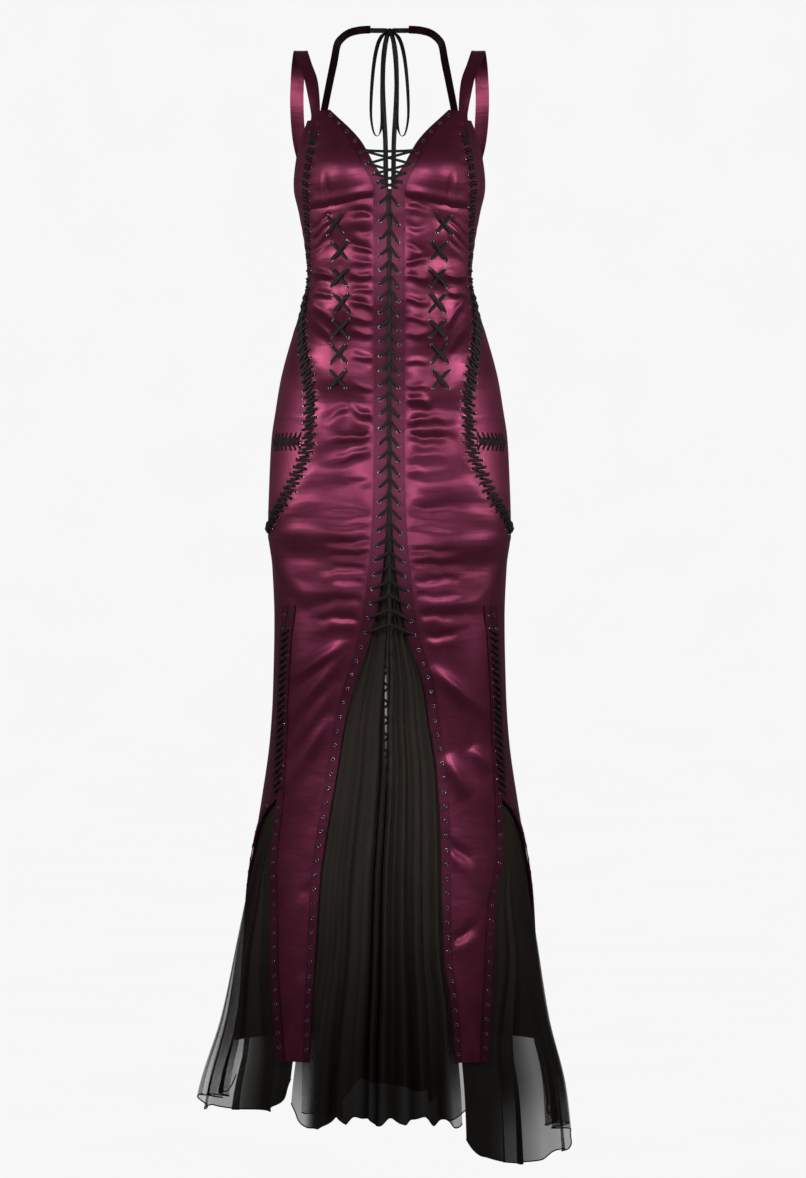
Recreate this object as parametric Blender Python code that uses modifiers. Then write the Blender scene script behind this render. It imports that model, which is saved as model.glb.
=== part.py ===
"""Laced corset gown: satin panels, eyelet bands, laces, straps, neck tie and chiffon godets.

Sizes are millimetres, made metres by MM. The front faces -Y and +X is the right side seen from the
front. The origin lies midway between the undersides of the two shoulder straps' tops.
An angle runs round the body from 0 at the centre front to 180 at the centre back, on either side.
"""
import math

import bmesh
import bpy
from mathutils import Vector

MM = 0.001
SATIN_WALL = 1.2
CHIFFON_WALL = 1.0
STRAP_WALL = 1.5
LACE_WALL = 1.0
SEAM_GAP = 0.4
LAYER_GAP = 0.4
BAND_LIFT = SATIN_WALL + LAYER_GAP
LACE_LIFT = BAND_LIFT + SATIN_WALL + LAYER_GAP
GODET_SINK = -(CHIFFON_WALL + 1.3)
SIDE_GODET_SINK = -(CHIFFON_WALL + 2.3)

APEX_Z = -91
UNDERBUST_Z = -225
BACK_TOP_Z = -206
GODET_TOP_Z = -700
SIDE_GODET_TOP_Z = -1036
BACK_GODET_TOP_Z = -1030
BACK_HEM_Z = -1512
HIP_PANEL_END_Z = -684
SLIT_TOP_Z = -774
SLIT_END_Z = -1043
PANEL_HEM_Z = -1395
REACH_TOP_Z = -1230
# Angles that each godet runs on under the panels' hems, at its left and right ends
FRONT_REACH = (4.6, 0.3)
LEFT_REACH = (4.6, 4.6)
RIGHT_REACH = (8.8, 4.6)
BACK_REACH = 4.6
LEFT_FLARE = 22
GODET_TUCK = 5
TRAIN_REACH = 90

PLUM = (0.165, 0.030, 0.075)
BAND_PLUM = (0.140, 0.026, 0.062)
CHIFFON_BLACK = (0.010, 0.008, 0.008)
LACE_BLACK = (0.014, 0.014, 0.012)
RIBBON_BLACK = (0.009, 0.008, 0.009)

# Level, half width, depth to the front, depth to the back, squareness of the outline
SECTIONS = (
    (-60, 118, 84, 62, 2.4),
    (-91, 124, 98, 66, 2.5),
    (-137, 131, 102, 72, 2.5),
    (-190, 133, 104, 80, 2.4),
    (-225, 126, 102, 79, 2.3),
    (-270, 118, 96, 76, 2.2),
    (-312, 114, 93, 74, 2.2),
    (-354, 121, 94, 84, 2.2),
    (-396, 134, 98, 96, 2.3),
    (-459, 151, 103, 110, 2.3),
    (-501, 158, 105, 119, 2.3),
    (-543, 164, 106, 125, 2.3),
    (-600, 167, 106, 126, 2.3),
    (-669, 169, 106, 120, 2.3),
    (-720, 163, 104, 113, 2.3),
    (-795, 160, 104, 105, 2.3),
    (-896, 162, 107, 104, 2.3),
    (-960, 166, 112, 109, 2.3),
    (-1047, 178, 126, 124, 2.3),
    (-1148, 195, 145, 148, 2.3),
    (-1249, 211, 167, 178, 2.3),
    (-1350, 228, 189, 216, 2.2),
    (-1450, 254, 205, 262, 2.2),
    (-1540, 266, 210, 300, 2.2),
)

# Level, distance of the front's inner edge from the centre plane: left, right
FRONT_EDGE = (
    (-91, 81, 81),
    (-103, 69, 69),
    (-115, 57, 57),
    (-126, 47, 47),
    (-137, 38.5, 38.5),
    (-148, 32, 32),
    (-166, 22.5, 22.5),
    (-184, 12, 12),
    (-198, 7, 7),
    (-212, 3, 3),
    (-240, 1.6, 1.6),
    (-560, 1.6, 1.6),
    (-640, 3, 3),
    (-685, 5.5, 5.5),
    (-733, 10, 10),
    (-779, 17, 17),
    (-822, 27, 27),
    (-885, 47, 47),
    (-939, 61, 55),
    (-1002, 71, 65),
    (-1098, 87, 70),
    (-1150, 94, 71),
    (-1250, 100, 74),
    (-1317, 104, 83),
    (-1395, 107, 89),
)

# Level, width of the eyelet band along the front edge
BAND_WIDTH = (
    (-91, 12),
    (-137, 15),
    (-184, 18),
    (-240, 20),
    (-733, 20),
    (-822, 16),
    (-1043, 14),
    (-1395, 9),
)

# Level, angle of the laced seam at the side: left, right
SIDE_SEAM = (
    (-91, 61, 61),
    (-113, 55, 55),
    (-134, 56, 56),
    (-174, 60, 60),
    (-204, 63, 63),
    (-235, 67, 67),
    (-270, 73, 73),
    (-312, 76, 76),
    (-354, 75, 75),
    (-380, 71, 71),
    (-401, 66, 66),
    (-421, 62, 62),
    (-455, 56.5, 56.5),
    (-500, 52.5, 52.5),
    (-545, 52.5, 52.5),
    (-567, 54.5, 54.5),
    (-593, 59, 59),
    (-615, 63.5, 63.5),
    (-636, 69.5, 69.5),
    (-660, 78, 78),
    (-684, 89, 89),
    (-710, 82, 82),
    (-740, 73, 73),
    (-774, 66.5, 66.5),
    (-822, 69, 69),
    (-905, 70, 70),
    (-960, 68.7, 68.7),
    (-1043, 65, 65),
    (-1118, 63, 60),
    (-1185, 58, 51.5),
    (-1322, 49, 42.5),
    (-1395, 43.5, 38.5),
)

# Level, angle of the back panel's free edge below the slit
BACK_EDGE = (
    (-1043, 65),
    (-1060, 72),
    (-1098, 82),
    (-1148, 91),
    (-1228, 103),
    (-1300, 110),
    (-1395, 116),
)

# Level, angle of the armhole's edge
ARMHOLE = (
    (-91, 62),
    (-104, 63.5),
    (-126, 69),
    (-151, 75),
    (-174, 82),
    (-190, 91),
    (-196, 100),
    (-201, 108.5),
    (-206, 116.5),
)

# Level, distance of the back's inner edge from the centre plane
BACK_CENTRE = ((-206, 7), (-1043, 7), (-1100, 26), (-1180, 52), (-1300, 84), (-1395, 104))

# Signed angle, level of the chiffon's hem
HEM = (
    (-180, -1512),
    (-130, -1482),
    (-95, -1464),
    (-62, -1468),
    (-42, -1450),
    (-28, -1484),
    (-12, -1470),
    (0, -1476),
    (14, -1472),
    (22, -1476),
    (27, -1504),
    (36, -1524),
    (60, -1534),
    (76, -1528),
    (95, -1508),
    (130, -1500),
    (180, -1512),
)

CUP_LEVELS = (-91, -103, -115, -126, -137, -148, -160, -174, -190, -196, -201, -206, -225)
# Lower end of each run of levels, and the number of steps down to it
RUNS = ((-599, 12), (-684, 5), (-774, 4), (-1043, 9), (-1395, 8))

# Bust's fullness: middle across, middle level, radius across, radius in height, depth
BUST = (64, -172, 46, 44, 15)

# Drag folds: side, start across and level, end across and level, height
DRAG_FOLDS = (
    (-1, 54, -822, 138, -880, 4),
    (-1, 56, -836, 140, -935, 4),
    (-1, 70, -880, 140, -985, 3),
    (-1, 80, -925, 146, -1036, 4),
    (1, 54, -858, 136, -928, 4),
    (1, 78, -980, 108, -1040, 3),
    (1, 112, -970, 142, -1005, 3),
)
DRAG_FOLD_RADIUS = 11

RUCHE_TOP_Z = -232
RUCHE_END_Z = -800
RUCHE_PITCH = 86
RUCHE_HEIGHT = 2.4

EYELET_PITCH = 20
X_LACE_LEVELS = (-249, -285, -322, -357, -393, -428, -463)
X_LACE_ACROSS = (74, 69, 67, 66, 67, 69, 71)
X_LACE_REACH = 11
X_LACE_LIFT = SATIN_WALL + 1.0
LACE_WIDTH = 4.5

HIP_LACE_TOP_Z = -345
HIP_LACE_END_Z = -676
HIP_LACE_PITCH = 17
HIP_LACE_REACH = 9
HIP_LACE_LIFT = SATIN_WALL + 0.95
HIP_BAR_Z = -548
HIP_BAR_LIFT = SATIN_WALL + 0.85
HIP_BAR_PITCH = 8.5
HIP_BAR_TEETH = 5

FRONT_LACE_TOP_Z = -222
FRONT_LACE_ROWS = 30
FRONT_LACE_LIFT = LACE_LIFT + 0.4
FRONT_LACE_SPINE = 1.5
FRONT_LACE_DROP = 9
# Distance from the centre plane and level of each turn of the neck's laces
NECK_LACE = ((38, -150), (29, -168), (20, -184), (14.5, -199), (12, -211))

BACK_LACE_TOP_Z = -232
BACK_LACE_END_Z = -1035
BACK_LACE_PITCH = 24
BACK_LACE_REACH = 16

STRAP_WIDTH = 19
STRAP_SINK = -(STRAP_WALL + 1.5)
HALTER_SINK = -0.9
HALTER_WIDTH = 11
RIBBON_WIDTH = 7
KNOT_AT = (0, 63, 36)
KNOT_HALF_SIZE = (11, 7, 8)
# Points of the right loop and the right hanging end
LOOP_ROUTE = (
    (10.1, 60.5, 31.4),
    (17.2, 59, 17),
    (22.5, 59, -10),
    (26, 60, -50),
    (26.5, 61, -85),
    (22, 62, -108),
    (15, 62, -110),
    (10.5, 61, -92),
    (10, 60, -50),
    (9, 59, -10),
    (6, 58, 20),
)
END_ROUTE = (
    (4.3, 66.3, 28.3),
    (8.5, 70, 4),
    (10, 73, -35),
    (8.5, 76, -75),
    (6, 80, -115),
    (5.5, 84.5, -155),
    (5.5, 90, -200),
    (5.5, 92, -245),
)


def read_table(table, column, at):
    """Smooth value of a column at a level or angle, through the table's rows."""
    keys = [row[0] for row in table]
    if keys[0] > keys[-1]:
        keys = [-key for key in keys]
        at = -at
    if at <= keys[0]:
        return table[0][column]
    if at >= keys[-1]:
        return table[-1][column]
    low = max(i for i, key in enumerate(keys[:-1]) if key <= at)
    values = [row[column] for row in table]

    def slope(i):
        before = max(i - 1, 0)
        after = min(i + 1, len(keys) - 1)
        left = (values[i] - values[before]) / (keys[i] - keys[before]) if i > before else None
        right = (values[after] - values[i]) / (keys[after] - keys[i]) if after > i else None
        if left is None or right is None or left * right <= 0:
            return 0 if left is not None and right is not None else (left if right is None else right)
        return 2 * left * right / (left + right)

    span = keys[low + 1] - keys[low]
    t = (at - keys[low]) / span
    a = values[low]
    b = values[low + 1]
    ease = t * t * (3 - 2 * t)
    return (a + (b - a) * ease
            + slope(low) * span * t * (1 - t) * (1 - t)
            - slope(low + 1) * span * t * t * (1 - t))


def outline(side, angle, z):
    """Point of the plain body at an angle and a level, before folds."""
    width = read_table(SECTIONS, 1, z)
    depth = read_table(SECTIONS, 2 if angle <= 90 else 3, z)
    power = read_table(SECTIONS, 4, z)
    turn = math.radians(angle)
    across = abs(math.sin(turn)) / width
    along = abs(math.cos(turn)) / depth
    reach = (across ** power + along ** power) ** (-1 / power)
    x = reach * math.sin(turn)
    y = -reach * math.cos(turn)
    if angle < 90:
        middle, level, round_x, round_z, full = BUST
        y -= full * math.exp(-((x - middle) / round_x) ** 2 - ((z - level) / round_z) ** 2)
    return Vector((side * x, y, z))


def outward(side, angle, z):
    """Unit vector square to the plain body."""
    round_it = outline(side, min(angle + 1, 180), z) - outline(side, max(angle - 1, 0), z)
    down_it = outline(side, angle, z - 3) - outline(side, angle, z + 3)
    square = down_it.cross(round_it) * side
    return square.normalized()


def angle_at(x, z, back=False):
    """Angle of the point that lies this far from the centre plane."""
    width = read_table(SECTIONS, 1, z)
    depth = read_table(SECTIONS, 3 if back else 2, z)
    power = read_table(SECTIONS, 4, z)
    share = min(abs(x) / width, 0.999)
    y = depth * (1 - share ** power) ** (1 / power)
    turn = math.degrees(math.atan2(abs(x), y))
    return 180 - turn if back else turn


def turn_for(width, side, angle, z):
    """Change of angle that covers a width on the cloth."""
    step = (outline(side, angle + 0.5, z) - outline(side, angle - 0.5, z)).length
    return width / step


def ease_out(share):
    share = min(max(share, 0), 1)
    return share * share * (3 - 2 * share)


def ruche(side, angle, z):
    """Height of the front's cross folds, still at the bands and laced seams."""
    if not RUCHE_END_Z < z < RUCHE_TOP_Z or angle > 90:
        return 0
    x = abs(outline(side, angle, z).x)
    inner = read_table(FRONT_EDGE, 1, z) + read_table(BAND_WIDTH, 1, z)
    outer = abs(outline(side, read_table(SIDE_SEAM, 1, z), z).x)
    room = max(outer - inner, 1)
    share = (x - inner) / room
    if share <= 0 or share >= 1:
        return 0
    fade = ease_out(share * 4) * ease_out((1 - share) * 4)
    fade *= ease_out((RUCHE_TOP_Z - z) / 25) * ease_out((z - RUCHE_END_Z) / 40)
    wave = math.cos(2 * math.pi * (z + side * 9 - x * 0.10) / RUCHE_PITCH)
    return RUCHE_HEIGHT * fade * wave


def drag(side, x, z):
    """Height of the slanting folds that run from the front opening to the side slit."""
    height = 0
    for fold_side, x0, z0, x1, z1, fold_height in DRAG_FOLDS:
        if fold_side != side:
            continue
        run = Vector((x1 - x0, z1 - z0))
        place = Vector((abs(x) - x0, z - z0))
        share = place.dot(run) / run.length_squared
        if not 0 < share < 1:
            continue
        off = (place - run * share).length
        height += fold_height * math.sin(math.pi * share) * math.exp(-(off / DRAG_FOLD_RADIUS) ** 2)
    return height


def tilt(side, angle, z):
    """Change of level that bends the seam under the bust up and the back's top edge down."""
    rise = 0
    if angle < 90:
        x = abs(outline(side, angle, z).x)
        near = ease_out(1 - abs(z - UNDERBUST_Z) / 60)
        rise = 12 * near * ease_out((95 - x) / 80)
    elif angle > 115:
        near = ease_out(1 - abs(z - BACK_TOP_Z) / 60)
        rise = -12 * near * ease_out((angle - 115) / 65)
    return rise


def skin(side, angle, z, lift=0):
    """Point of the gown's surface, moved out by a lift."""
    flat = outline(side, angle, z)
    height = lift + ruche(side, angle, z)
    if angle < side_seam(side, z):
        height += drag(side, flat.x, z)
    level = z + tilt(side, angle, z)
    place = outline(side, angle, level)
    return place + outward(side, angle, level) * height


def finish(name, points_or_mesh, colour, roughness):
    """Object with its own material, in the gown's collection."""
    piece = bpy.data.objects.new(name, points_or_mesh)
    paint = bpy.data.materials.new(name + "_cloth")
    paint.use_nodes = True
    shader = paint.node_tree.nodes["Principled BSDF"]
    shader.inputs["Base Color"].default_value = (*colour, 1)
    shader.inputs["Roughness"].default_value = roughness
    shader.inputs["Metallic"].default_value = 0
    piece.data.materials.append(paint)
    gown.objects.link(piece)
    return piece


def sheet(name, cells, facing, wall, colour, roughness=0.4):
    """Wall of cloth over corner lists in millimetres, thickened towards the facing side."""
    shape = bmesh.new()
    corners = {}
    for cell in cells:
        for place in cell:
            key = tuple(round(value, 3) for value in place)
            if key not in corners:
                corners[key] = shape.verts.new(place * MM)
    for cell in cells:
        keys = [tuple(round(value, 3) for value in place) for place in cell]
        shape.faces.new([corners[key] for key in keys])
    bmesh.ops.recalc_face_normals(shape, faces=shape.faces)
    shape.faces.ensure_lookup_table()
    middle = shape.faces[len(shape.faces) // 2]
    if middle.normal.dot(facing(middle.calc_center_median() / MM)) < 0:
        bmesh.ops.reverse_faces(shape, faces=shape.faces)
    mesh = bpy.data.meshes.new(name)
    shape.to_mesh(mesh)
    shape.free()
    mesh.shade_smooth()
    piece = finish(name, mesh, colour, roughness)
    wall_maker = piece.modifiers.new("wall", "SOLIDIFY")
    wall_maker.thickness = wall * MM
    wall_maker.offset = 1
    return piece


def from_axis(place):
    return Vector((place.x, place.y, 0))


def grid_cells(rows):
    """Four-cornered cells between neighbouring rows of points."""
    cells = []
    for upper, lower in zip(rows, rows[1:]):
        for i in range(len(upper) - 1):
            cells.append((upper[i], lower[i], lower[i + 1], upper[i + 1]))
    return cells


def levels_between(high, low):
    """The gown's shared levels from a high one down to a low one."""
    levels = list(CUP_LEVELS)
    for end, steps in RUNS:
        start = levels[-1]
        levels += [start + (end - start) * (i + 1) / steps for i in range(steps)]
    return [z for z in levels if high + 0.5 >= z >= low - 0.5]


def column(side):
    return 1 if side < 0 else 2


def side_seam(side, z):
    return read_table(SIDE_SEAM, column(side), z)


def front_angles(side, z):
    """Angles of the front's columns, from the inner edge to the side seam."""
    edge = read_table(FRONT_EDGE, column(side), z)
    band = read_table(BAND_WIDTH, 1, z)
    inner = angle_at(edge, z)
    band_end = angle_at(edge + band, z)
    seam = side_seam(side, z)
    outer = seam - turn_for(SEAM_GAP / 2, side, seam, z)
    side_band = outer - min(turn_for(13, side, seam, z), 0.42 * (outer - inner))
    band_end = min(band_end, inner + 0.55 * (side_band - inner) + 0.5)
    shares = (0.34, 0.67)
    between = [band_end + (side_band - band_end) * share for share in shares]
    return [inner, band_end, *between, side_band, outer]


def back_outer(side, z):
    if z > HIP_PANEL_END_Z - 0.5:
        return 180 - side_seam(side, z)
    if z > SLIT_END_Z:
        return side_seam(side, z)
    return read_table(BACK_EDGE, 1, z)


def back_angles(side, z):
    """Angles of the back's columns, from its outer edge to the centre."""
    seam = back_outer(side, z)
    outer = seam + turn_for(SEAM_GAP / 2, side, seam, z)
    edge = read_table(BACK_CENTRE, 1, z)
    inner = angle_at(edge, z, back=True)
    band = angle_at(edge + 19, z, back=True)
    side_band = outer + turn_for(13, side, outer, z)
    wide = ease_out((100 - outer) / 30)
    shares = (0.36 - 0.17 * wide, 0.70 - 0.12 * wide)
    between = [side_band + (band - side_band) * share for share in shares]
    return [outer, side_band, *between, band, inner]


def panel_rows(side, levels, angles, lift, columns=None):
    rows = []
    for z in levels:
        row = angles(side, z)
        if columns:
            row = row[columns[0]:columns[1] + 1]
        rows.append([skin(side, angle, z, lift) for angle in row])
    return rows


def lower_first(levels, amount):
    return [levels[0] - amount] + levels[1:]


def raise_last(levels, amount):
    return levels[:-1] + [levels[-1] + amount]


def side_name(side):
    return "left" if side < 0 else "right"


def make_panels(side):
    """Cup, front panel, hip panel and back panel of one side."""
    tag = side_name(side)
    cup_levels = raise_last(levels_between(APEX_Z, UNDERBUST_Z), SEAM_GAP)
    rows = panel_rows(side, cup_levels, front_angles, 0)
    sheet("cup_" + tag, grid_cells(rows), from_axis, SATIN_WALL, PLUM)

    front_levels = lower_first(levels_between(UNDERBUST_Z, PANEL_HEM_Z), SEAM_GAP)
    rows = panel_rows(side, front_levels, front_angles, 0)
    sheet("front_panel_" + tag, grid_cells(rows), from_axis, SATIN_WALL, PLUM)

    def hip_angles(which, z):
        seam = side_seam(which, z)
        start = seam + turn_for(SEAM_GAP / 2, which, seam, z)
        end = 180 - start
        if z > BACK_TOP_Z + 0.5:
            end = max(read_table(ARMHOLE, 1, z), start + 2)
        rim = min(turn_for(12, which, seam, z), 0.25 * (end - start))
        return [start, start + rim, 0.64 * start + 0.36 * end, 0.36 * start + 0.64 * end, end - rim, end]

    hip_levels = raise_last(levels_between(-103, HIP_PANEL_END_Z), 2)
    rows = panel_rows(side, hip_levels, hip_angles, 0)
    sheet("side_panel_" + tag, grid_cells(rows), from_axis, SATIN_WALL, PLUM)

    back_levels = levels_between(BACK_TOP_Z, PANEL_HEM_Z)
    rows = panel_rows(side, back_levels, back_angles, 0)
    sheet("back_panel_" + tag, grid_cells(rows), from_axis, SATIN_WALL, PLUM)


def make_bands(side):
    """Eyelet bands along the front edge, the side slit and the back's centre."""
    tag = side_name(side)
    runs = (
        ("front_band_", APEX_Z, front_angles, (0, 1)),
        ("front_side_band_", SLIT_TOP_Z, front_angles, (4, 5)),
        ("back_side_band_", SLIT_TOP_Z, back_angles, (0, 1)),
        ("back_band_", BACK_TOP_Z, back_angles, (4, 5)),
    )
    for name, top, angles, columns in runs:
        levels = levels_between(top, PANEL_HEM_Z)
        rows = panel_rows(side, levels, angles, BAND_LIFT, columns)
        sheet(name + tag, grid_cells(rows), from_axis, SATIN_WALL, BAND_PLUM)


def hem_level(signed_angle):
    return read_table(HEM, 1, signed_angle)


def gather(waves, share):
    """Depth, from 0 to 1, of the uneven folds across a godet."""
    uneven = share + 0.35 / waves * math.sin(2 * math.pi * share * 1.7 + waves)
    return 0.5 - 0.5 * math.cos(2 * math.pi * waves * uneven)


def godet(name, top, edges, reaches, waves, depth, sink_at_edge, flare, rows_down, columns):
    """Gathered chiffon that hangs behind the panels' edges and widens to the hem.

    edges gives the signed angles of its two sides at a level, and reaches how far each side runs
    on under the panel's hem."""
    rows = []
    for j in range(rows_down + 1):
        fall = j / rows_down
        row = []
        for i in range(columns + 1):
            share = i / columns
            start, end = edges(top + (PANEL_HEM_Z - top) * min(fall * 1.12, 1))
            angle = start + (end - start) * share
            z = top + (hem_level(angle) - top) * fall
            start, end = edges(max(z, PANEL_HEM_Z))
            spread = ease_out((REACH_TOP_Z - z) / (REACH_TOP_Z - PANEL_HEM_Z))
            start -= spread * reaches[0]
            end += spread * reaches[1]
            angle = start + (end - start) * share
            side = -1 if angle < 0 else 1
            edge_fade = ease_out(min(share, 1 - share) * 12)
            sink = sink_at_edge - depth * fall ** 1.3 * gather(waves, share) * edge_fade
            sink += flare * max(fall - 0.1, 0) * ease_out((min(share, 1 - share) - 0.08) * 4)
            place = outline(side, min(abs(angle), 180), z)
            row.append(place + outward(side, min(abs(angle), 179), z) * sink)
        rows.append(row)
    return sheet(name, grid_cells(rows), from_axis, CHIFFON_WALL, CHIFFON_BLACK, 0.9)


def front_godet_edges(z):
    ends = []
    for side in (-1, 1):
        x = read_table(FRONT_EDGE, column(side), z) + GODET_TUCK
        ends.append(side * angle_at(x, z))
    return ends


def side_godet_edges(side):
    def edges(z):
        tuck = turn_for(GODET_TUCK, side, 80, z)
        front = side_seam(side, z) - tuck
        back = read_table(BACK_EDGE, 1, z) + tuck
        return sorted((side * front, side * back))
    return edges


def make_godets():
    godet("front_godet", GODET_TOP_Z, front_godet_edges, FRONT_REACH, 7, 30, GODET_SINK, 0, 12, 36)
    for side in (-1, 1):
        reaches = LEFT_REACH if side < 0 else RIGHT_REACH
        flare = LEFT_FLARE if side < 0 else 0
        godet("side_godet_" + side_name(side), SIDE_GODET_TOP_Z, side_godet_edges(side), reaches, 4, 26,
              SIDE_GODET_SINK, flare, 8, 20)
    rows = []
    rows_down = 8
    columns = 24
    waves = 5
    for j in range(rows_down + 1):
        fall = j / rows_down
        row = []
        for i in range(columns + 1):
            share = 2 * i / columns - 1
            side = -1 if share < 0 else 1
            z = BACK_GODET_TOP_Z + (BACK_HEM_Z - BACK_GODET_TOP_Z) * fall
            edge = angle_at(read_table(BACK_CENTRE, 1, z) + GODET_TUCK, z, back=True)
            edge -= BACK_REACH * ease_out((REACH_TOP_Z - z) / (REACH_TOP_Z - PANEL_HEM_Z))
            angle = 180 - (180 - edge) * abs(share)
            edge_fade = ease_out((1 - abs(share)) * 6)
            sink = GODET_SINK - 30 * fall ** 1.3 * gather(waves, (share + 1) / 2) * edge_fade
            sink += TRAIN_REACH * fall ** 3 * ease_out((0.7 - abs(share)) / 0.5)
            place = outline(side, angle, z)
            row.append(place + outward(side, min(angle, 179), z) * sink)
        rows.append(row)
    sheet("back_godet", grid_cells(rows), from_axis, CHIFFON_WALL, CHIFFON_BLACK, 0.9)


def ribbon(name, stations, wall, colour, facing, roughness=0.4):
    """Flat band through stations of a middle point, a direction across and a width."""
    rows = []
    for middle, across, width in stations:
        half = Vector(across).normalized() * width / 2
        rows.append([Vector(middle) - half, Vector(middle) + half])
    return sheet(name, grid_cells(rows), facing, wall, colour, roughness)


def smooth_route(points, steps):
    """Points along a smooth curve through a route's own points."""
    places = [Vector(point) for point in points]
    route = []
    for i in range(len(places) - 1):
        before = places[max(i - 1, 0)]
        after = places[min(i + 2, len(places) - 1)]
        for k in range(steps):
            t = k / steps
            a = places[i]
            b = places[i + 1]
            route.append(0.5 * (2 * a + (b - before) * t
                                + (2 * before - 5 * a + 4 * b - after) * t * t
                                + (3 * a - before - 3 * b + after) * t ** 3))
    route.append(places[-1])
    return route


def make_straps(side):
    """Shoulder strap over the shoulder, and the halter strap to the nape."""
    tag = side_name(side)
    front_root = skin(side, 57.5, -106, STRAP_SINK)
    front_edge = skin(side, 58, -91, STRAP_SINK)
    back_edge = skin(side, 114, -200, STRAP_SINK - 1)
    back_root = skin(side, 114, -222, STRAP_SINK - 1)
    round_front = outline(side, 64, -98) - outline(side, 55, -98)
    round_back = outline(side, 108, -210) - outline(side, 120, -210)
    route = [
        (front_root, round_front),
        (front_edge, round_front),
        (Vector((side * 108, -52, -48)), Vector((side, 0.4, 0))),
        (Vector((side * 117, -33, -22)), Vector((side, 0.2, 0))),
        (Vector((side * 122.5, -14, -5)), Vector((side, 0.1, 0))),
        (Vector((side * 124.5, 0, 0)), Vector((side, 0, 0))),
        (Vector((side * 126.5, 13, -6)), Vector((side, 0, 0))),
        (Vector((side * 129, 25, -26)), Vector((side, 0, 0))),
        (Vector((side * 130.5, 32, -70)), Vector((side, -0.1, 0))),
        (Vector((side * 127, 32, -120)), Vector((side, -0.3, 0))),
        (skin(side, 107, -164, STRAP_SINK - 3), Vector((side, -0.9, 0))),
        (back_edge, round_back),
        (back_root, round_back),
    ]
    stations = []
    for middle, across in route:
        stations.append((middle, across, STRAP_WIDTH))
    ribbon("shoulder_strap_" + tag, stations, STRAP_WALL, PLUM, lambda place: Vector((0, 0, 1)))

    halter_root = skin(side, 46, -106, HALTER_SINK)
    halter_edge = skin(side, 46.5, -91, HALTER_SINK)
    halter_across = outline(side, 50, -98) - outline(side, 42, -98)
    halter = [
        (halter_root, halter_across),
        (halter_edge, halter_across),
        (Vector((side * 81, -54, -46)), Vector((side, 0.5, 0.1))),
        (Vector((side * 77, -32, -16)), Vector((side, 0.3, 0.3))),
        (Vector((side * 73.5, -8, 7)), Vector((side, 0.2, 0.6))),
        (Vector((side * 68, 16, 22)), Vector((side * 0.7, 0.1, 0.9))),
        (Vector((side * 57, 39, 33)), Vector((side * 0.3, 0, 1))),
        (Vector((side * 43, 52, 38)), Vector((0, 0, 1))),
        (Vector((side * 27, 59, 39)), Vector((0, 0, 1))),
    ]
    stations = [(middle, across, HALTER_WIDTH) for middle, across in halter]
    ribbon("halter_strap_" + tag, stations, STRAP_WALL, PLUM, lambda place: Vector((side, 1, 1)))


def cord(name, points, steps):
    """Tube along a ribbon that hangs free, as wide as the ribbon."""
    line = bpy.data.curves.new(name, "CURVE")
    line.dimensions = "3D"
    line.bevel_depth = RIBBON_WIDTH / 2 * MM
    line.bevel_resolution = 2
    line.use_fill_caps = True
    spline = line.splines.new("POLY")
    route = smooth_route(points, steps)
    spline.points.add(len(route) - 1)
    for knot, place in zip(spline.points, route):
        knot.co = (*(place * MM), 1)
    finish(name, line, RIBBON_BLACK, 0.6)


def make_neck_tie():
    """Knot at the nape with its ribbons, two loops and two hanging ends."""
    ball = bmesh.new()
    bmesh.ops.create_uvsphere(ball, u_segments=10, v_segments=6, radius=MM)
    bmesh.ops.scale(ball, vec=KNOT_HALF_SIZE, verts=ball.verts)
    bmesh.ops.translate(ball, vec=Vector(KNOT_AT) * MM, verts=ball.verts)
    mesh = bpy.data.meshes.new("neck_knot")
    ball.to_mesh(mesh)
    ball.free()
    mesh.shade_smooth()
    finish("neck_knot", mesh, RIBBON_BLACK, 0.6)
    for side in (-1, 1):
        tag = side_name(side)
        stations = [((side * x, y, 38), (0, 0, 1), RIBBON_WIDTH) for x, y in ((33, 59.4), (22, 62.2), (11.2, 63))]
        ribbon("neck_ribbon_" + tag, stations, 1, RIBBON_BLACK, lambda place: Vector((0, 1, 0)), 0.6)
        cord("bow_loop_" + tag, [(side * x, y, z) for x, y, z in LOOP_ROUTE], 2)
        cord("tie_end_" + tag, [(side * x, y, z) for x, y, z in END_ROUTE], 2)


def lay(side, angle, z, lift):
    """Point on the faceted panels: straight between the shared levels, following the side seam."""
    levels = levels_between(APEX_Z, PANEL_HEM_Z)
    above = max(level for level in levels if level >= min(z, APEX_Z))
    lower = [level for level in levels if level >= z]
    above = lower[-1] if lower else levels[0]
    place = levels.index(above)
    below = levels[min(place + 1, len(levels) - 1)]
    share = (above - z) / (above - below) if above > below else 0
    off = angle - side_seam(side, z)
    high = skin(side, side_seam(side, above) + off, above, lift)
    low = skin(side, side_seam(side, below) + off, below, lift)
    return high.lerp(low, share)


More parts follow.
